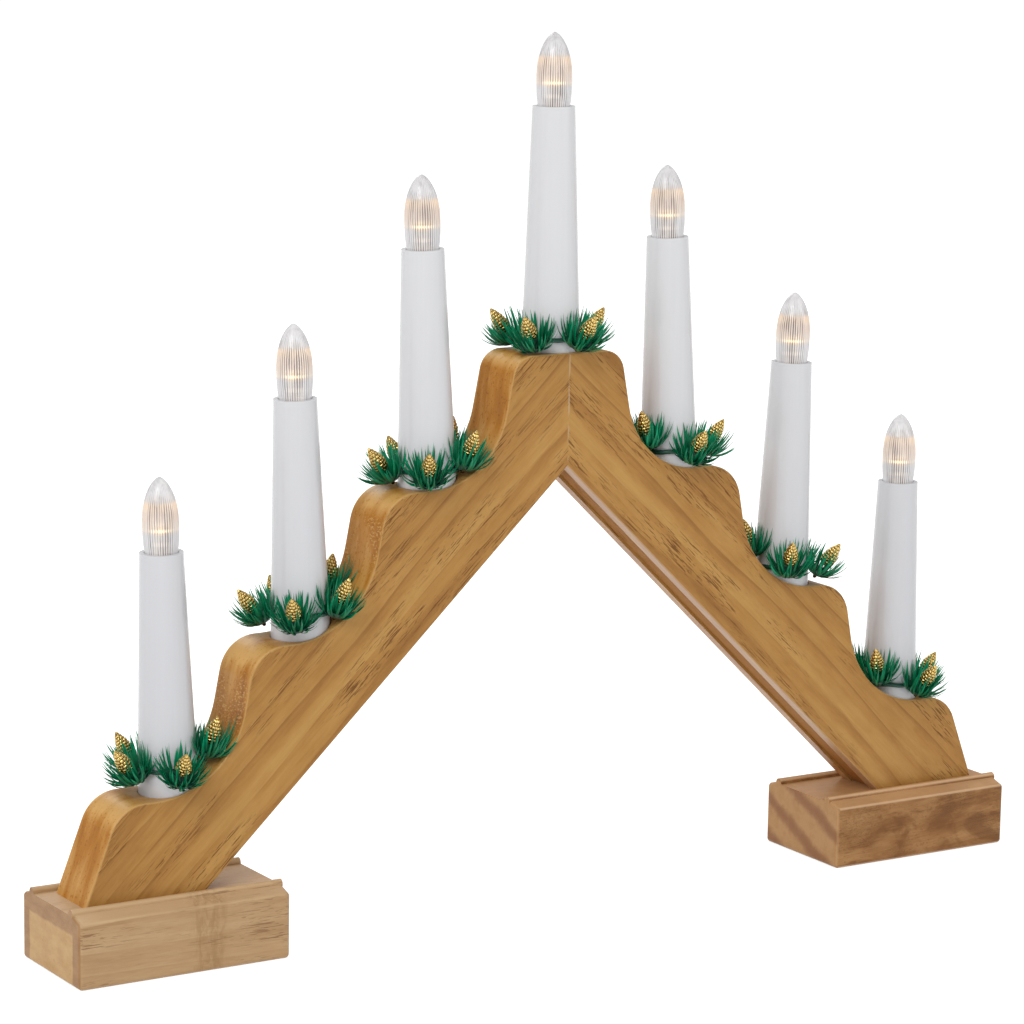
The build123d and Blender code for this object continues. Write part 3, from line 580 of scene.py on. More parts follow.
def tubeMaterial():
    # faintly blue white plastic with upright flow lines, and painted shade that makes it a little greyer
    # towards the floor
    look = Look("tubeWhite")
    place = look.place()
    height = look.split(place)[2]
    flow = look.noise(place, (0.77, 0.77, 0.01), 3.0)
    fineGrain = look.noise(place, (9, 9, 9), 2.0)
    grey = look.mix(flow, *tubes["shadedTones"])
    white = look.mix(flow, *tubes["unshadedTones"])
    # painted shade: greyer low down, lighter higher up
    colour = look.mix(look.step(height, tubes["shadeFullBelow"], tubes["shadeGoneAbove"]), grey, white)
    rough = 0.22 + (flow - 0.5) * 0.12 + (fineGrain - 0.5) * 0.06
    normal = look.bump(flow * 3 + fineGrain * 0.5, 0.06, 0.05 * mm)
    return look.finish({"Base Color": colour, "Roughness": rough, "Normal": normal}, {"IOR": 1.50})


def metalMaterial(name, colour, roughness):
    # bare metal, faintly brushed
    look = Look(name)
    place = look.place()
    brush = look.noise(place, (6, 0.6, 6), 3.0)
    tone = look.mix(brush, tuple(c * 0.85 for c in colour), colour)
    return look.finish({"Base Color": tone, "Roughness": roughness + (brush - 0.5) * 0.2,
                        "Normal": look.bump(brush, 0.1, 0.03 * mm)}, {"Metallic": 1.0})


tubeWhite = tubeMaterial()
socketWhite = plasticMaterial("socketWhite", (0.74, 0.72, 0.68), 0.42, 0.03)
boxBlack = plasticMaterial("boxBlack", (0.030, 0.030, 0.032), 0.48, 0.25, 0.25)
knobGrey = plasticMaterial("knobGrey", (0.16, 0.16, 0.17), 0.40, 0.15, 0.1)
wireCream = plasticMaterial("wireCream", (0.62, 0.60, 0.55), 0.50, 0.05)
cellSleeve = plasticMaterial("cellSleeve", (0.20, 0.24, 0.28), 0.30, 0.06)
dowelWood = plasticMaterial("dowelBeech", (0.55, 0.36, 0.19), 0.60, 0.12, 0.2, (0.2, 2, 2))
zincSteel = metalMaterial("zincSteel", (0.62, 0.63, 0.66), 0.34)
for name, thing in nodes.items():
    if name.startswith("candle_tube"):
        dress(thing, tubeWhite)
    elif name.startswith("lamp_socket"):
        dress(thing, socketWhite)
for name, material in {
        "battery_box": boxBlack, "battery_cover": boxBlack, "switch_body": boxBlack, "switch_knob": knobGrey,
        "battery_cells": cellSleeve, "battery_contacts": zincSteel, "foot_screws": zincSteel,
        "left_loom": wireCream, "right_loom": wireCream, "mitre_dowels": dowelWood}.items():
    dress(nodes[name], material)
print("plastic and metal done")


# lamps
lamp = {
    "skirt": 5.83 * mm,
    "belly": 6.45 * mm,
    "bellyHeight": 9.0 * mm,
    "tipHeight": 26.35 * mm,
    "rim": 89.0 * mm,
    "seat": 84.1 * mm,
    "flutes": 44,
    "fluteDepth": 0.16 * mm,
    "fluteTop": 17.6 * mm,
    "fluteFade": 0.8 * mm,  # below fluteTop, where the grooves fade out
    "fluteStart": -0.2 * mm,  # height at which they begin, and below how much higher they are full
    "fluteRise": 1 * mm,
    "uvHeight": 30 * mm,  # height at which the cover's second coordinate would reach 1
    "across": 176,
    "rows": 46,
}


def coverRadius(height):
    # below the belly a shallow parabola, above it belly * (1 - s^2.4)^0.68, which closes in a blunt point
    narrowing = np.clip(1 - height / lamp["bellyHeight"], 0, 1) ** 2
    below = lamp["belly"] - (lamp["belly"] - lamp["skirt"]) * narrowing
    share = np.clip((height - lamp["bellyHeight"]) / (lamp["tipHeight"] - lamp["bellyHeight"]), 0, 1)
    above = lamp["belly"] * np.clip(1 - share**2.4, 0, 1) ** 0.68
    return np.where(height < lamp["bellyHeight"], below, above)


def makeCover(number):
    # a point at angle a and height h lies at radius R(h) less the flute's groove,
    # depth * (1 - |cos(n a / 2)|), which fades out at the top and at the foot
    ease = 1 - (1 - np.linspace(0, 1, lamp["rows"])) ** 1.6
    height = (lamp["seat"] - lamp["rim"]) * (1 - ease) + lamp["tipHeight"] * ease
    angle = np.linspace(0, 2 * np.pi, lamp["across"], endpoint=False)
    groove = 1 - np.abs(np.cos(lamp["flutes"] * angle / 2))
    fade = np.clip((lamp["fluteTop"] - height) / lamp["fluteFade"], 0, 1)
    fade = fade * np.clip((height - lamp["fluteStart"]) / lamp["fluteRise"], 0, 1)
    cut = lamp["fluteDepth"] * groove[None, :] * fade[:, None]
    radius = np.maximum(coverRadius(np.maximum(height, 0))[:, None] - cut, 0)
    local = np.stack([
        radius * np.cos(angle), radius * np.sin(angle),
        np.broadcast_to(height[:, None] + lamp["rim"], radius.shape)], axis=-1)
    body = local[:-1].reshape(-1, 3)
    rows = len(height) - 1
    columns = len(angle)
    tip = np.array([[0, 0, height[-1] + lamp["rim"]]])
    floor = np.array([[0, 0, lamp["seat"]]])
    points = np.concatenate([body, floor, tip])
    quads = gridFaces(rows, columns, closeColumns=True)
    share = np.concatenate([
        np.repeat(height[:-1], columns), [lamp["seat"] - lamp["rim"]], [height[-1]]]) / lamp["uvHeight"]
    uv = np.stack([np.concatenate([np.tile(groove, rows), [0.0], [0.0]]), share], axis=-1)
    thing = makeMesh(f"flutedCover_{number}", toFrame(number, points), quads, poleFaces(rows, columns), uv)
    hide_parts(f"lamp_cover_{number}")
    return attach(thing, f"lamp_{number}")


lampLight = {
    # four bands, by their heights on the cover in mm: start, full, starts to fade and gone
    "footRing": (2.6, 3.4, 3.8, 5.0),
    "halo": (6.4, 8.2, 8.8, 12.0),
    "lowRing": (7.5, 8.3, 8.5, 9.4),
    "highRing": (13.6, 16.4, 17.0, 18.6),
    "clear": (0.80, 0.80, 0.82),
    # this colour and the next: painted glow of the light inside, set in the base colour
    "peach": (0.82, 0.66, 0.54),
    "haloTint": (0.86, 0.66, 0.46),
    # the next three colours: painted shade of refraction in the clear plastic
    "edge": (0.40, 0.39, 0.41),
    "streak": (0.145, 0.115, 0.115),
    "refractionLine": (0.24, 0.24, 0.26),
    "dimGlow": (0.03, 0.03, 0.03),
    "warmGlow": (0.13, 0.075, 0.035),
    "highGlow": (0.34, 0.215, 0.075),
    "haloGlow": (0.40, 0.265, 0.130),
    "footGlow": (0.30, 0.26, 0.22),
    "lowGlow": (0.95, 0.80, 0.52),
    "streakGlow": (0.012, 0.008, 0.007),
    "baseTones": ((0.72, 0.60, 0.45), (0.82, 0.72, 0.58)),
    "baseGlows": ((0.30, 0.20, 0.10), (0.38, 0.26, 0.14)),
}


def coverMaterial():
    # clear fluted plastic over a small light, its refraction and glow painted by how squarely each point is
    # seen:
    # painted grey edges, painted dark and bright streaks where the flutes are seen square on, and the light's
    # glow as a thin bright ring low down, a soft yellow one under the tip and peach between them
    look = Look("clearFluted")
    groove, share = look.split(look.node("ShaderNodeUVMap", {"uv_map": "shape"}))[:2]
    height = share * (lamp["uvHeight"] / mm)
    place = look.place()
    flow = look.noise(place, (0.55, 0.55, 0.08), 2.0)
    facing = look.node("ShaderNodeLayerWeight", {}, {"Blend": 0.5}, output="Facing")
    square = 1 - look.step(facing, 0.10, 0.42)
    middle = 1 - look.step(facing, 0.02, 0.18)
    outline = look.step(facing, 0.62, 0.90)
    fluted = 1 - look.step(height + (flow - 0.5) * 7, 17.0, 20.5)
    warmStart = look.step(height + (flow - 0.5) * 3, 7.0, 12.5)
    warm = warmStart * (1 - look.step(height + (flow - 0.5) * 2, 16.8, 19.2))
    lowRing = look.band(height, *lampLight["lowRing"])
    halo = look.band(height, *lampLight["halo"])
    footRing = look.band(height, *lampLight["footRing"])
    highRing = look.band(height, *lampLight["highRing"])
    ribs = look.step(groove + (flow - 0.5) * 1.7, 0.25, 0.80)
    streak = ribs * (0.34 + square * 0.66) * fluted
    # painted glow of the light inside, set in the base colour: peach between the rings, a warm tint at the
    # halo
    colour = look.mix(warm * (0.70 - square * 0.15), lampLight["clear"], lampLight["peach"])
    colour = look.mix(halo * (0.25 + middle * 0.35), colour, lampLight["haloTint"])
    # painted shade of refraction: grey where the cover is seen side on, dark streaks on flutes seen square on
    colour = look.mix(outline * 0.65, colour, lampLight["edge"])
    colour = look.mix(streak * 0.92, colour, lampLight["streak"])
    # painted refraction: grey lines in the clear tip above the flutes
    refractionLines = look.step(groove + (flow - 0.5) * 2.6, 0.45, 0.95) * (1 - fluted) * (0.70 + outline * 0.3)
    colour = look.mix(refractionLines, colour, lampLight["refractionLine"])
    glow = look.mix(warm, lampLight["dimGlow"], lampLight["warmGlow"])
    glow = look.mix(highRing * (0.75 - square * 0.15), glow, lampLight["highGlow"])
    glow = look.mix(halo * (0.22 + middle * 0.68), glow, lampLight["haloGlow"])
    glow = look.mix(footRing * middle * 0.8, glow, lampLight["footGlow"])
    glow = look.mix(lowRing * (0.06 + middle * 0.94), glow, lampLight["lowGlow"])
    glow = look.mix(streak * (0.85 - lowRing * middle * 0.50), glow, lampLight["streakGlow"])
    alpha = 0.70 + facing * 0.35 + streak * 0.25 - (1 - fluted) * 0.16
    return look.finish({"Base Color": colour, "Emission Color": glow, "Alpha": alpha.atMost(1.0)},
                       {"Roughness": 0.12, "IOR": 1.46, "Emission Strength": 1.0, "Coat Weight": 0.4,
                        "Coat Roughness": 0.05})


def lampBaseMaterial():
    # pale warm plastic that glows all over, its tone and glow mottled
    look = Look("lampBaseGlow")
    place = look.place()
    flow = look.noise(place, (0.5, 0.5, 0.5), 2.0)
    colour = look.mix(flow, *lampLight["baseTones"])
    glow = look.mix(flow, *lampLight["baseGlows"])
    return look.finish({"Base Color": colour, "Emission Color": glow},
                       {"Roughness": 0.35, "Emission Strength": 0.9})


clearFluted = coverMaterial()
lampBaseGlow = lampBaseMaterial()
for number in candleNumbers:
    dress(makeCover(number), clearFluted)
    dress(nodes[f"lamp_base_{number}"], lampBaseGlow)
print("lamps done")


# wreaths
wreath = {
    "rootBelowCone": 4.6 * mm,
    "coneLength": 10.5 * mm,
    "layers": (  # how many needles, least and most spread, reach along the axis in mm
        (22, 0.92, 1.06, 7.6), (23, 0.80, 0.98, 10.2), (19, 0.58, 0.80, 12.2), (9, 0.38, 0.52, 12.8)),
    "startAway": 1.0 * mm,  # where a needle starts, from its tuft's axis
    "startUp": 0.1 * mm,
    "spread": 9.45 * mm,
    "upright": 0.38,  # share by which the needles stand steeper than their cone
    "halfWidth": 0.58 * mm,
    "halfThickness": 0.16 * mm,
    "stations": 7,
    "ringHalfWidth": 0.62 * mm,
    "ringHalfHeight": 0.85 * mm,
    "ringFit": 0.25 * mm,
    "ringWaves": ((5, 0.12 * mm), (11, 0.08 * mm)),  # how many round the ring, and how high
    "innerBand": 0.12 * mm,  # points this near to the ring's bore are its innermost ones
    "tubeGap": 0.25 * mm,
    "woodGap": 0.3 * mm,
    "edgeFade": 1.5 * mm,  # past the board's edge, where needles need no longer clear its seat
    "hubSink": 0.15 * mm,  # how much nearer than the needles the hubs and wires may come
    "stalkRadius": 0.6 * mm,
    "stalkReach": 1.2 * mm,  # past the tuft's root
    "nubRadius": 0.75 * mm,
    "nubSpan": (0.2 * mm, 0.9 * mm),  # below the tuft's root
    "bowl": ((0, -0.4), (1.5, -0.3), (3.2, 0.2), (4.6, 1.1), (5.6, 2.4), (5.3, 2.6), (4.0, 1.9),
             (2.0, 1.4), (0, 1.2)),  # radius and height in mm, round the tuft's axis
    "around": 72,
    "section": 12,
    "needleTones": (
        (0.0, (0.000, 0.038, 0.015)), (0.35, (0.000, 0.135, 0.055)),
        (0.75, (0.000, 0.250, 0.112)), (1.0, (0.010, 0.410, 0.205))),
    "ringTones": ((0.002, 0.035, 0.022), (0.006, 0.085, 0.052)),
}


def tuftAngles(number):
    # level angle of each pine cone of a wreath, found from its solids: 72 degrees apart
    local = toCandle(number, meshPoints(nodes[f"pine_cones_{number}"]))
    angle = np.arctan2(local[:, 1], local[:, 0])
    first = np.angle(np.mean(np.exp(5j * angle))) / 5
    return local, angle, first + 2 * np.pi / 5 * np.arange(5)


def tuftFrames(number):
    # root point, axis and level direction of each tuft; its axis is the long axis of its pine cone
    local, angle, centres = tuftAngles(number)
    found = []
    for centre in centres:
        near = np.abs(np.angle(np.exp(1j * (angle - centre)))) < np.pi / 5
        own = local[near]
        axis = np.linalg.svd(own - own.mean(0), full_matrices=False)[2][0]
        axis = axis * np.sign(axis[2])
        base = own.mean(0) + axis * ((own - own.mean(0)) @ axis).min()
        level = np.array([-np.sin(centre), np.cos(centre), 0])
        found.append((base - axis * wreath["rootBelowCone"], axis, level))
    return found


def needleBlades(root, axis, outward, level):
    # each needle runs out and up from its start: R (1.4 t - 0.4 t^2) further from the tuft's axis and
    # H (0.2 t + 0.8 t^2) higher, so that a tuft is a bowl of needles. Its section is a flat diamond, widest
    # near the middle and closing in a point
    azimuth, spread, reach = [], [], []
    for count, low, high, length in wreath["layers"]:
        turn = np.linspace(0, 2 * np.pi, count, endpoint=False) + rng.uniform(0, 6.28)
        azimuth.append(turn + rng.normal(0, 0.11, count))
        spread.append(rng.uniform(low, high, count))
        reach.append(length * mm * rng.uniform(0.86, 1.08, count))
    azimuth, spread, reach = (np.concatenate(part) for part in (azimuth, spread, reach))
    count = len(azimuth)
    t = np.linspace(0, 1, wreath["stations"])
    away = wreath["startAway"] + wreath["spread"] * spread[:, None] * (1.4 * t - 0.4 * t**2)[None, :]
    upward = wreath["startUp"] + reach[:, None] * (0.2 * t + 0.8 * t**2)[None, :]
    bend = rng.normal(0, 0.10, count)[:, None] * t[None, :] ** 2
    direction = (np.cos(azimuth[:, None] + bend)[..., None] * outward
                 + np.sin(azimuth[:, None] + bend)[..., None] * level)
    path = root + away[..., None] * direction + upward[..., None] * axis
    tangent = np.gradient(path, axis=1)
    tangent /= np.linalg.norm(tangent, axis=-1, keepdims=True)
    flat = np.cross(tangent, direction)
    flat /= np.linalg.norm(flat, axis=-1, keepdims=True)
    thick = np.cross(flat, tangent)
    roll = rng.normal(0, 0.35, count)[:, None, None]
    wide = flat * np.cos(roll) + thick * np.sin(roll)
    deep = np.cross(tangent, wide)
    size = rng.uniform(0.8, 1.15, count)[:, None]
    width = size * wreath["halfWidth"] * ((0.75 + 0.25 * np.sin(np.pi * t)) * (1 - t**4))[None, :]
    depth = wreath["halfThickness"] * (1 - 0.8 * t)[None, :] * np.ones((count, 1))
    corners = np.stack([
        path + wide * width[..., None], path + deep * depth[..., None],
        path - wide * width[..., None], path - deep * depth[..., None]], axis=2)
    body = corners[:, :-1].reshape(-1, 3)
    tips = path[:, -1]
    rows = wreath["stations"] - 1
    oneBlade = gridFaces(rows, 4, closeColumns=True)
    quads = (oneBlade[None] + (np.arange(count) * rows * 4)[:, None, None]).reshape(-1, 4)
    ring = np.arange(4)
    start = (np.arange(count) * rows * 4)[:, None]
    tipIndex = count * rows * 4 + np.arange(count)
    last = start + (rows - 1) * 4
    tops = np.stack([
        last + ring[None], last + (ring[None] + 1) % 4,
        np.broadcast_to(tipIndex[:, None], (count, 4))], axis=-1).reshape(-1, 3)
    feet = np.concatenate([start + np.array([[3, 2, 1]]), start + np.array([[3, 1, 0]])])
    uvBody = np.stack(np.broadcast_arrays(
        np.array([0.0, 0.5, 1.0, 0.5])[None, None, :], t[None, :-1, None] + np.zeros((count, 1, 1))), axis=-1)
    uv = np.concatenate([uvBody.reshape(-1, 2), np.tile([[0.5, 1.0]], (count, 1))])
    tint = rng.uniform(0, 1, count)
    tints = np.concatenate([np.repeat(tint, rows * 4), tint])
    return np.concatenate([body, tips]), quads, np.concatenate([tops, feet]), uv, tints


def lathe(profile, sides, origin, axis, outward, level):
    # a profile of (radius, height) turned round an axis; its first and last points lie on the axis
    angle = np.linspace(0, 2 * np.pi, sides, endpoint=False)
    radial = np.cos(angle)[:, None] * outward + np.sin(angle)[:, None] * level
    inner = profile[1:-1]
    body = origin + inner[:, 0][:, None, None] * radial[None] + inner[:, 1][:, None, None] * axis
    poles = origin + profile[[0, -1], 1][:, None] * axis
    rows = len(inner)
    quads = gridFaces(rows, sides, closeColumns=True)
    return np.concatenate([body.reshape(-1, 3), poles]), quads, poleFaces(rows, sides)


def rod(start, end, radius, sides=10):
    # a straight round rod with domed ends
    axis = end - start
    length = np.linalg.norm(axis)
    axis = axis / length
    outward = np.cross(axis, [0.31, 0.87, 0.12])
    outward /= np.linalg.norm(outward)
    level = np.cross(axis, outward)
    bend = np.sin(np.linspace(0, np.pi / 2, 4))
    rise = np.cos(np.linspace(0, np.pi / 2, 4))
    profile = np.concatenate([
        np.stack([radius * bend, -radius * rise], axis=1),
        np.stack([radius * bend[::-1], length + radius * rise[::-1]], axis=1)])
    return lathe(profile, sides, start, axis, outward, level)


def gather(parts):
    # several (points, quads, triangles) lists as one
    points, quads, triangles = [], [], []
    total = 0
    for part in parts:
        points.append(part[0])
        quads.append(part[1] + total)
        triangles.append(part[2] + total)
        total += len(part[0])
    return np.concatenate(points), np.concatenate(quads), np.concatenate(triangles)


def tubeRadius(height):
    # a tube tapers evenly from its foot to its rim
    share = height / candles["length"]
    return candles["bottomRadius"] + (candles["topRadius"] - candles["bottomRadius"]) * share


def keepClear(number, local, margin=0.0):
    # needles are bent out of the tube and up off the wood, as the real ones are
    radius = np.hypot(local[:, 0], local[:, 1])
    least = tubeRadius(local[:, 2]) + wreath["tubeGap"] + margin
    factor = np.maximum(least / np.maximum(radius, 1e-9), 1.0)
    bent = local * np.stack([factor, factor, np.ones_like(factor)], axis=1)
    points = toFrame(number, bent)
    pastEdge = np.abs(points[:, 1]) - candles["boardHalf"]
    overBoard = np.clip(1 - pastEdge / wreath["edgeFade"], 0, 1)
    floor = woodHeight(number, points) + wreath["woodGap"] + margin
    lift = np.maximum(floor - points[:, 2], 0) * overBoard
    points[:, 2] += lift
    return points


def ringHeight(number):
    # middle of the ring's innermost points, as a height on the candle
    local = toCandle(number, meshPoints(nodes[f"wreath_{number}"]))
    radius = np.hypot(local[:, 0], local[:, 1])
    inner = local[radius < radius.min() + wreath["innerBand"]]
    return (inner[:, 2].max() + inner[:, 2].min()) / 2


def makeWreath(number):
    blades, hubs, wires, nubs = [], [], [], []
    height = ringHeight(number)
    ringRadius = tubeRadius(height) + wreath["ringFit"] + wreath["ringHalfWidth"]
    # the ring: an ellipse carried round the candle, a little wavy
    bowl = np.array(wreath["bowl"]) * mm
    turn = np.linspace(0, 2 * np.pi, wreath["around"], endpoint=False)
    section = np.linspace(0, 2 * np.pi, wreath["section"], endpoint=False)
    (slow, slowHeight), (fast, fastHeight) = wreath["ringWaves"]
    wave = slowHeight * np.sin(slow * turn + number) + fastHeight * np.sin(fast * turn)
    across = ringRadius + wreath["ringHalfWidth"] * np.cos(section)[None, :]
    lift = height + wave[:, None] + wreath["ringHalfHeight"] * np.sin(section)[None, :]
    ring = np.stack(np.broadcast_arrays(
        across * np.cos(turn)[:, None], across * np.sin(turn)[:, None], lift), axis=-1).reshape(-1, 3)
    wires.append((ring, gridFaces(wreath["around"], wreath["section"], True, True), np.zeros((0, 3), int)))
    for root, axis, level in tuftFrames(number):
        steep = axis + wreath["upright"] * np.array([0, 0, 1.0])
        steep = steep / np.linalg.norm(steep)
        blades.append(needleBlades(root, steep, np.cross(level, steep), level))
        hubs.append(lathe(bowl, 20, root, steep, np.cross(level, steep), level))
        flat = np.array([root[0], root[1], 0])
        start = flat / np.linalg.norm(flat) * ringRadius + np.array([0, 0, height])
        wires.append(rod(start, root + axis * wreath["stalkReach"], wreath["stalkRadius"]))
        upper, lower = [root - axis * below for below in wreath["nubSpan"]]
        nubs.append(rod(upper, lower, wreath["nubRadius"]))
    uv = np.concatenate([part[3] for part in blades])
    tint = np.concatenate([part[4] for part in blades])
    points, quads, triangles = gather(blades)
    needles = makeMesh(f"needles_{number}", keepClear(number, points), quads, triangles, uv, tint, False)
    points, quads, triangles = gather(hubs + wires)
    points = keepClear(number, points, -wreath["hubSink"])
    ringThing = makeMesh(f"ringAndHubs_{number}", points, quads, triangles)
    points, quads, triangles = gather(nubs)
    nubThing = makeMesh(f"coneStalks_{number}", keepClear(number, points), quads, triangles)
    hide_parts(f"wreath_{number}")
    for thing, finish in ((needles, "green_needles"), (ringThing, "green_needles"), (nubThing, "gold_cones")):
        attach(thing, f"decoration_{number}")
    return needles, ringThing, nubThing


def needleMaterial():
    # emerald moulded needles: darkened by painted shade at the root, lighter and a little bluer to the tip,
    # each its own tone
    look = Look("needleGreen")
    along = look.split(look.node("ShaderNodeUVMap", {"uv_map": "shape"}))[1]
    own = look.node("ShaderNodeAttribute", {"attribute_name": "tint"}, output="Fac")
    speck = look.noise(look.place(), (1.2, 1.2, 1.2), 2.0)
    # painted shade: the tone darkens towards the root, where the needles crowd together
    tone = along * 0.85 + (own - 0.5) * 0.35 + (speck - 0.5) * 0.3
    colour = look.node("ShaderNodeValToRGB", {"stops": wreath["needleTones"]}, {0: tone})
    rough = 0.36 + (speck - 0.5) * 0.2
    return look.finish({"Base Color": colour, "Roughness": rough}, {"IOR": 1.45, "Specular IOR Level": 0.28})


def ringMaterial():
    # the ring and the hubs of the tufts: very dark green, mottled
    look = Look("ringGreen")
    speck = look.noise(look.place(), (1.5, 1.5, 1.5), 3.0)
    colour = look.mix(speck, *wreath["ringTones"])
    return look.finish({"Base Color": colour, "Roughness": 0.30 + speck * 0.2,
                        "Normal": look.bump(speck, 0.2, 0.1 * mm)}, {"IOR": 1.46})


cone = {
    "radius": 3.10 * mm,
    "scaleRows": 9,
    "scalesPerTurn": 8,
    "around": 64,
    "stations": 74,
    "rise": 0.34,  # share of a row over which a scale swells, and below over which it ends
    "fall": 0.16,
    "rounding": 0.42,  # share of half a scale over which its sides round off
    "core": 0.84,  # share of the outline that the hollows reach, and below what the scales add to it
    "relief": 0.19,
    "gold": (0.72, 0.50, 0.165),
    # painted shade for the hollows between the scales
    "hollow": (0.045, 0.020, 0.005),
}


def makeCones(number):
    # a spindle with rows of rounded scales: its outline is R sin(pi s^0.7)^0.66 (1 - 0.22 s) along its
    # length s, each scale swells towards its free edge, and rows stand half a scale apart
    across, stations = cone["around"], cone["stations"]
    share = np.linspace(0, 1, stations)
    angle = np.linspace(0, 2 * np.pi, across, endpoint=False)
    outline = cone["radius"] * (np.sin(np.pi * share**0.70) ** 0.66) * (1 - 0.22 * share)
    rowPhase = share[:, None] * cone["scaleRows"]
    rowIndex = np.floor(rowPhase)
    inRow = rowPhase - rowIndex
    turn = angle[None, :] / (2 * np.pi) * cone["scalesPerTurn"] + 0.5 * (rowIndex % 2)
    inScale = np.abs(turn - np.floor(turn) - 0.5) * 2
    tall = np.clip(inRow / cone["rise"], 0, 1) ** 0.8 * np.clip((1 - inRow) / cone["fall"], 0, 1)
    crest = tall * np.clip((1 - inScale) / cone["rounding"], 0, 1) ** 0.8
    radius = outline[:, None] * (cone["core"] + cone["relief"] * crest * (0.6 + 0.4 * inRow))
    points, quads, triangles, uvs = [], [], [], []
    total = 0
    body = gridFaces(stations - 2, across, closeColumns=True)
    for root, axis, level in tuftFrames(number):
        outward = np.cross(level, axis)
        outward = outward / np.linalg.norm(outward)
        base = root + axis * wreath["rootBelowCone"]
        spin = rng.uniform(0, 6.28)
        radial = np.cos(angle + spin)[:, None] * outward + np.sin(angle + spin)[:, None] * level
        grid = (base + radius[1:-1, :, None] * radial[None]
                + (share[1:-1] * wreath["coneLength"])[:, None, None] * axis)
        poles = np.stack([base, base + axis * wreath["coneLength"]])
        points.append(np.concatenate([grid.reshape(-1, 3), poles]))
        quads.append(body + total)
        triangles.append(poleFaces(stations - 2, across) + total)
        along = np.broadcast_to(share[1:-1, None], crest[1:-1].shape)
        uvs.append(np.concatenate([
            np.stack([crest[1:-1], along], axis=-1).reshape(-1, 2), [[0.2, 0.0], [0.6, 1.0]]]))
        total += (stations - 2) * across + 2
    thing = makeMesh(f"goldCones_{number}", toFrame(number, np.concatenate(points)),
                     np.concatenate(quads), np.concatenate(triangles), np.concatenate(uvs))
    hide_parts(f"pine_cones_{number}")
    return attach(thing, f"decoration_{number}")


def goldMaterial():
    # bright gold on the scales' edges, and painted shade, a near black brown, in the hollows between them
    look = Look("coneGold")
    crest = look.split(look.node("ShaderNodeUVMap", {"uv_map": "shape"}))[0]
    speck = look.noise(look.place(), (2.2, 2.2, 2.2), 2.0)
    wearAndHighlight = look.step(crest + (speck - 0.5) * 0.4, 0.12, 0.62)
    # painted shade: the hollows between the scales are nearly black
    colour = look.mix(wearAndHighlight, cone["hollow"], cone["gold"])
    rough = 0.40 - wearAndHighlight * 0.20 + (speck - 0.5) * 0.15
    return look.finish({"Base Color": colour, "Roughness": rough}, {"Metallic": 1.0})


needleGreen = needleMaterial()
ringGreen = ringMaterial()
coneGold = goldMaterial()
for number in candleNumbers:
    needles, ringThing, nubThing = makeWreath(number)
    dress(needles, needleGreen)
    dress(ringThing, ringGreen)
    dress(nubThing, coneGold)
    dress(makeCones(number), coneGold)
print("wreaths done")


# floor, light and camera
studio = {
    "floorHalf": 40.0,
    "floorColour": (0.80, 0.80, 0.80),
    "floorGlow": 0.62,
    "worldStrength": 0.56,
    "aim": (0, 0, 0.15),
    "lights": {  # place, width and height in metres, power in watts
        "keyLight": ((-1.6, -1.1, 1.5), (1.2, 1.2), 23.2),
        "fillLight": ((1.4, -1.8, 0.9), (1.4, 1.4), 10.4),
        "rearLight": ((0.4, 1.7, 1.6), (1.2, 1.2), 12.8),
    },
}


def makeFloor():
    # a level floor that glows only where it is seen, so that it shows white and keeps the shadow
    half = studio["floorHalf"]
    corners = np.array([[-half, -half, 0], [half, -half, 0], [half, half, 0], [-half, half, 0]])
    floor = makeMesh("studioFloor", corners, np.array([[0, 1, 2, 3]]))
    look = Look("studioFloor")
    seen = look.node("ShaderNodeLightPath", output="Is Camera Ray")
    glossy = look.node("ShaderNodeLightPath", output="Is Glossy Ray")
    through = look.node("ShaderNodeLightPath", output="Is Transmission Ray")
    visible = (seen + glossy + through).atMost(1.0)
    diffuse = look.node("ShaderNodeBsdfDiffuse", {}, {"Color": studio["floorColour"]})
    glow = look.node("ShaderNodeEmission", {}, {
        "Color": (1.0, 1.0, 1.0), "Strength": visible * studio["floorGlow"]})
    total = look.node("ShaderNodeAddShader", {}, {0: diffuse, 1: glow})
    output = look.tree.nodes.new("ShaderNodeOutputMaterial")
    look.tree.links.new(total.socket, output.inputs["Surface"])
    dress(floor, look.material)


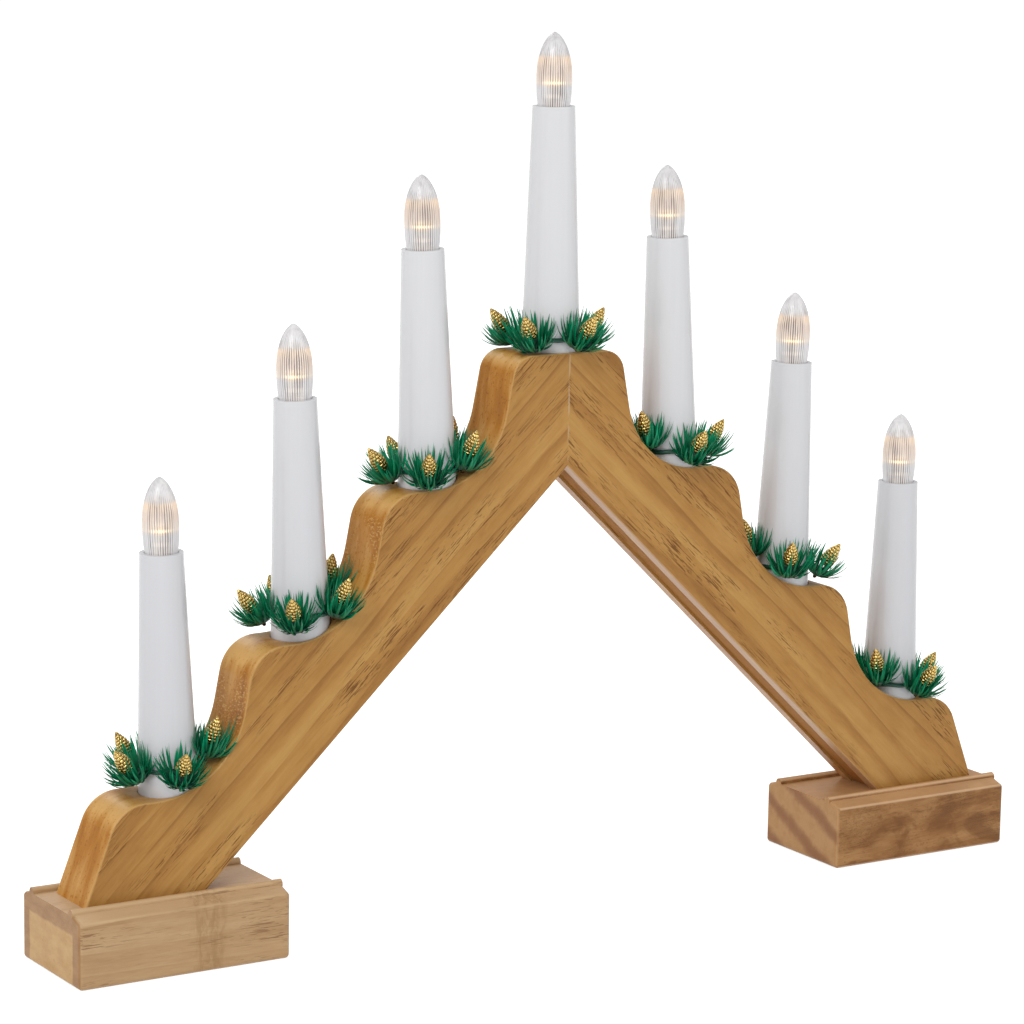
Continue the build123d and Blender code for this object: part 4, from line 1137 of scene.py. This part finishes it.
def makeWorld():
    # white where it is seen, also through clear plastic, and dimmer where it lights the object
    world = bpy.data.worlds.new("studioWorld")
    bpy.context.scene.world = world
    world.use_nodes = True
    tree = world.node_tree
    tree.nodes.clear()
    path = tree.nodes.new("ShaderNodeLightPath")
    direct = tree.nodes.new("ShaderNodeMath")
    direct.operation = "MAXIMUM"
    tree.links.new(path.outputs["Is Camera Ray"], direct.inputs[0])
    tree.links.new(path.outputs["Is Transmission Ray"], direct.inputs[1])
    strength = tree.nodes.new("ShaderNodeMapRange")
    strength.inputs["To Min"].default_value = studio["worldStrength"]
    strength.inputs["To Max"].default_value = 1.0
    tree.links.new(direct.outputs[0], strength.inputs["Value"])
    background = tree.nodes.new("ShaderNodeBackground")
    background.inputs["Color"].default_value = (1, 1, 1, 1)
    tree.links.new(strength.outputs[0], background.inputs["Strength"])
    output = tree.nodes.new("ShaderNodeOutputWorld")
    tree.links.new(background.outputs[0], output.inputs["Surface"])


def stand(name, data, right, up, back, place):
    # a light or camera at its place, turned by its own right, up and back directions
    thing = bpy.data.objects.new(name, data)
    bpy.context.scene.collection.objects.link(thing)
    rows = [[right[row], up[row], back[row], place[row]] for row in range(3)]
    thing.matrix_world = Matrix(rows + [[0, 0, 0, 1]])
    return thing


def makeLight(name, place, size, power):
    # a rectangle of light that faces the aim
    data = bpy.data.lights.new(name, "AREA")
    data.shape = "RECTANGLE"
    data.size, data.size_y = size
    data.energy = power
    aim = np.array(studio["aim"], float) - np.array(place, float)
    back = -aim / np.linalg.norm(aim)
    side = np.cross([0, 0, 1], back)
    side /= np.linalg.norm(side)
    return stand(name, data, side, np.cross(back, side), back, place)


camera = {
    "place": (-0.71967, -1.12733, 0.38995),  # fitted to the photo, as are the angles and the focal length
    "yaw": -0.558,  # radians about the upright axis
    "pitch": -0.181,
    "roll": 0.017,
    "focal": 3720.0,  # in pixels of the image
    "imageWidth": 1024,
    "sensorWidth": 36,
}


def makeCamera():
    # looks along +Y, turned by yaw, pitch and roll
    yaw, pitch, roll = camera["yaw"], camera["pitch"], camera["roll"]
    right = np.array([np.cos(yaw), np.sin(yaw), 0])
    ahead = np.array([-np.sin(yaw), np.cos(yaw), 0])
    up = np.array([0, 0, 1.0])
    aim = ahead * np.cos(pitch) + up * np.sin(pitch)
    lift = -ahead * np.sin(pitch) + up * np.cos(pitch)
    side = right * np.cos(roll) + lift * np.sin(roll)
    top = -right * np.sin(roll) + lift * np.cos(roll)
    data = bpy.data.cameras.new("photoCamera")
    data.sensor_width = camera["sensorWidth"]
    data.lens = camera["focal"] / camera["imageWidth"] * camera["sensorWidth"]
    data.clip_start = 0.01
    data.clip_end = 200
    bpy.context.scene.camera = stand("photoCamera", data, side, top, -aim, camera["place"])


makeFloor()
makeWorld()
for name, (place, size, power) in studio["lights"].items():
    makeLight(name, place, size, power)
makeCamera()
bpy.context.scene.view_settings.view_transform = "Standard"
print("studio done")
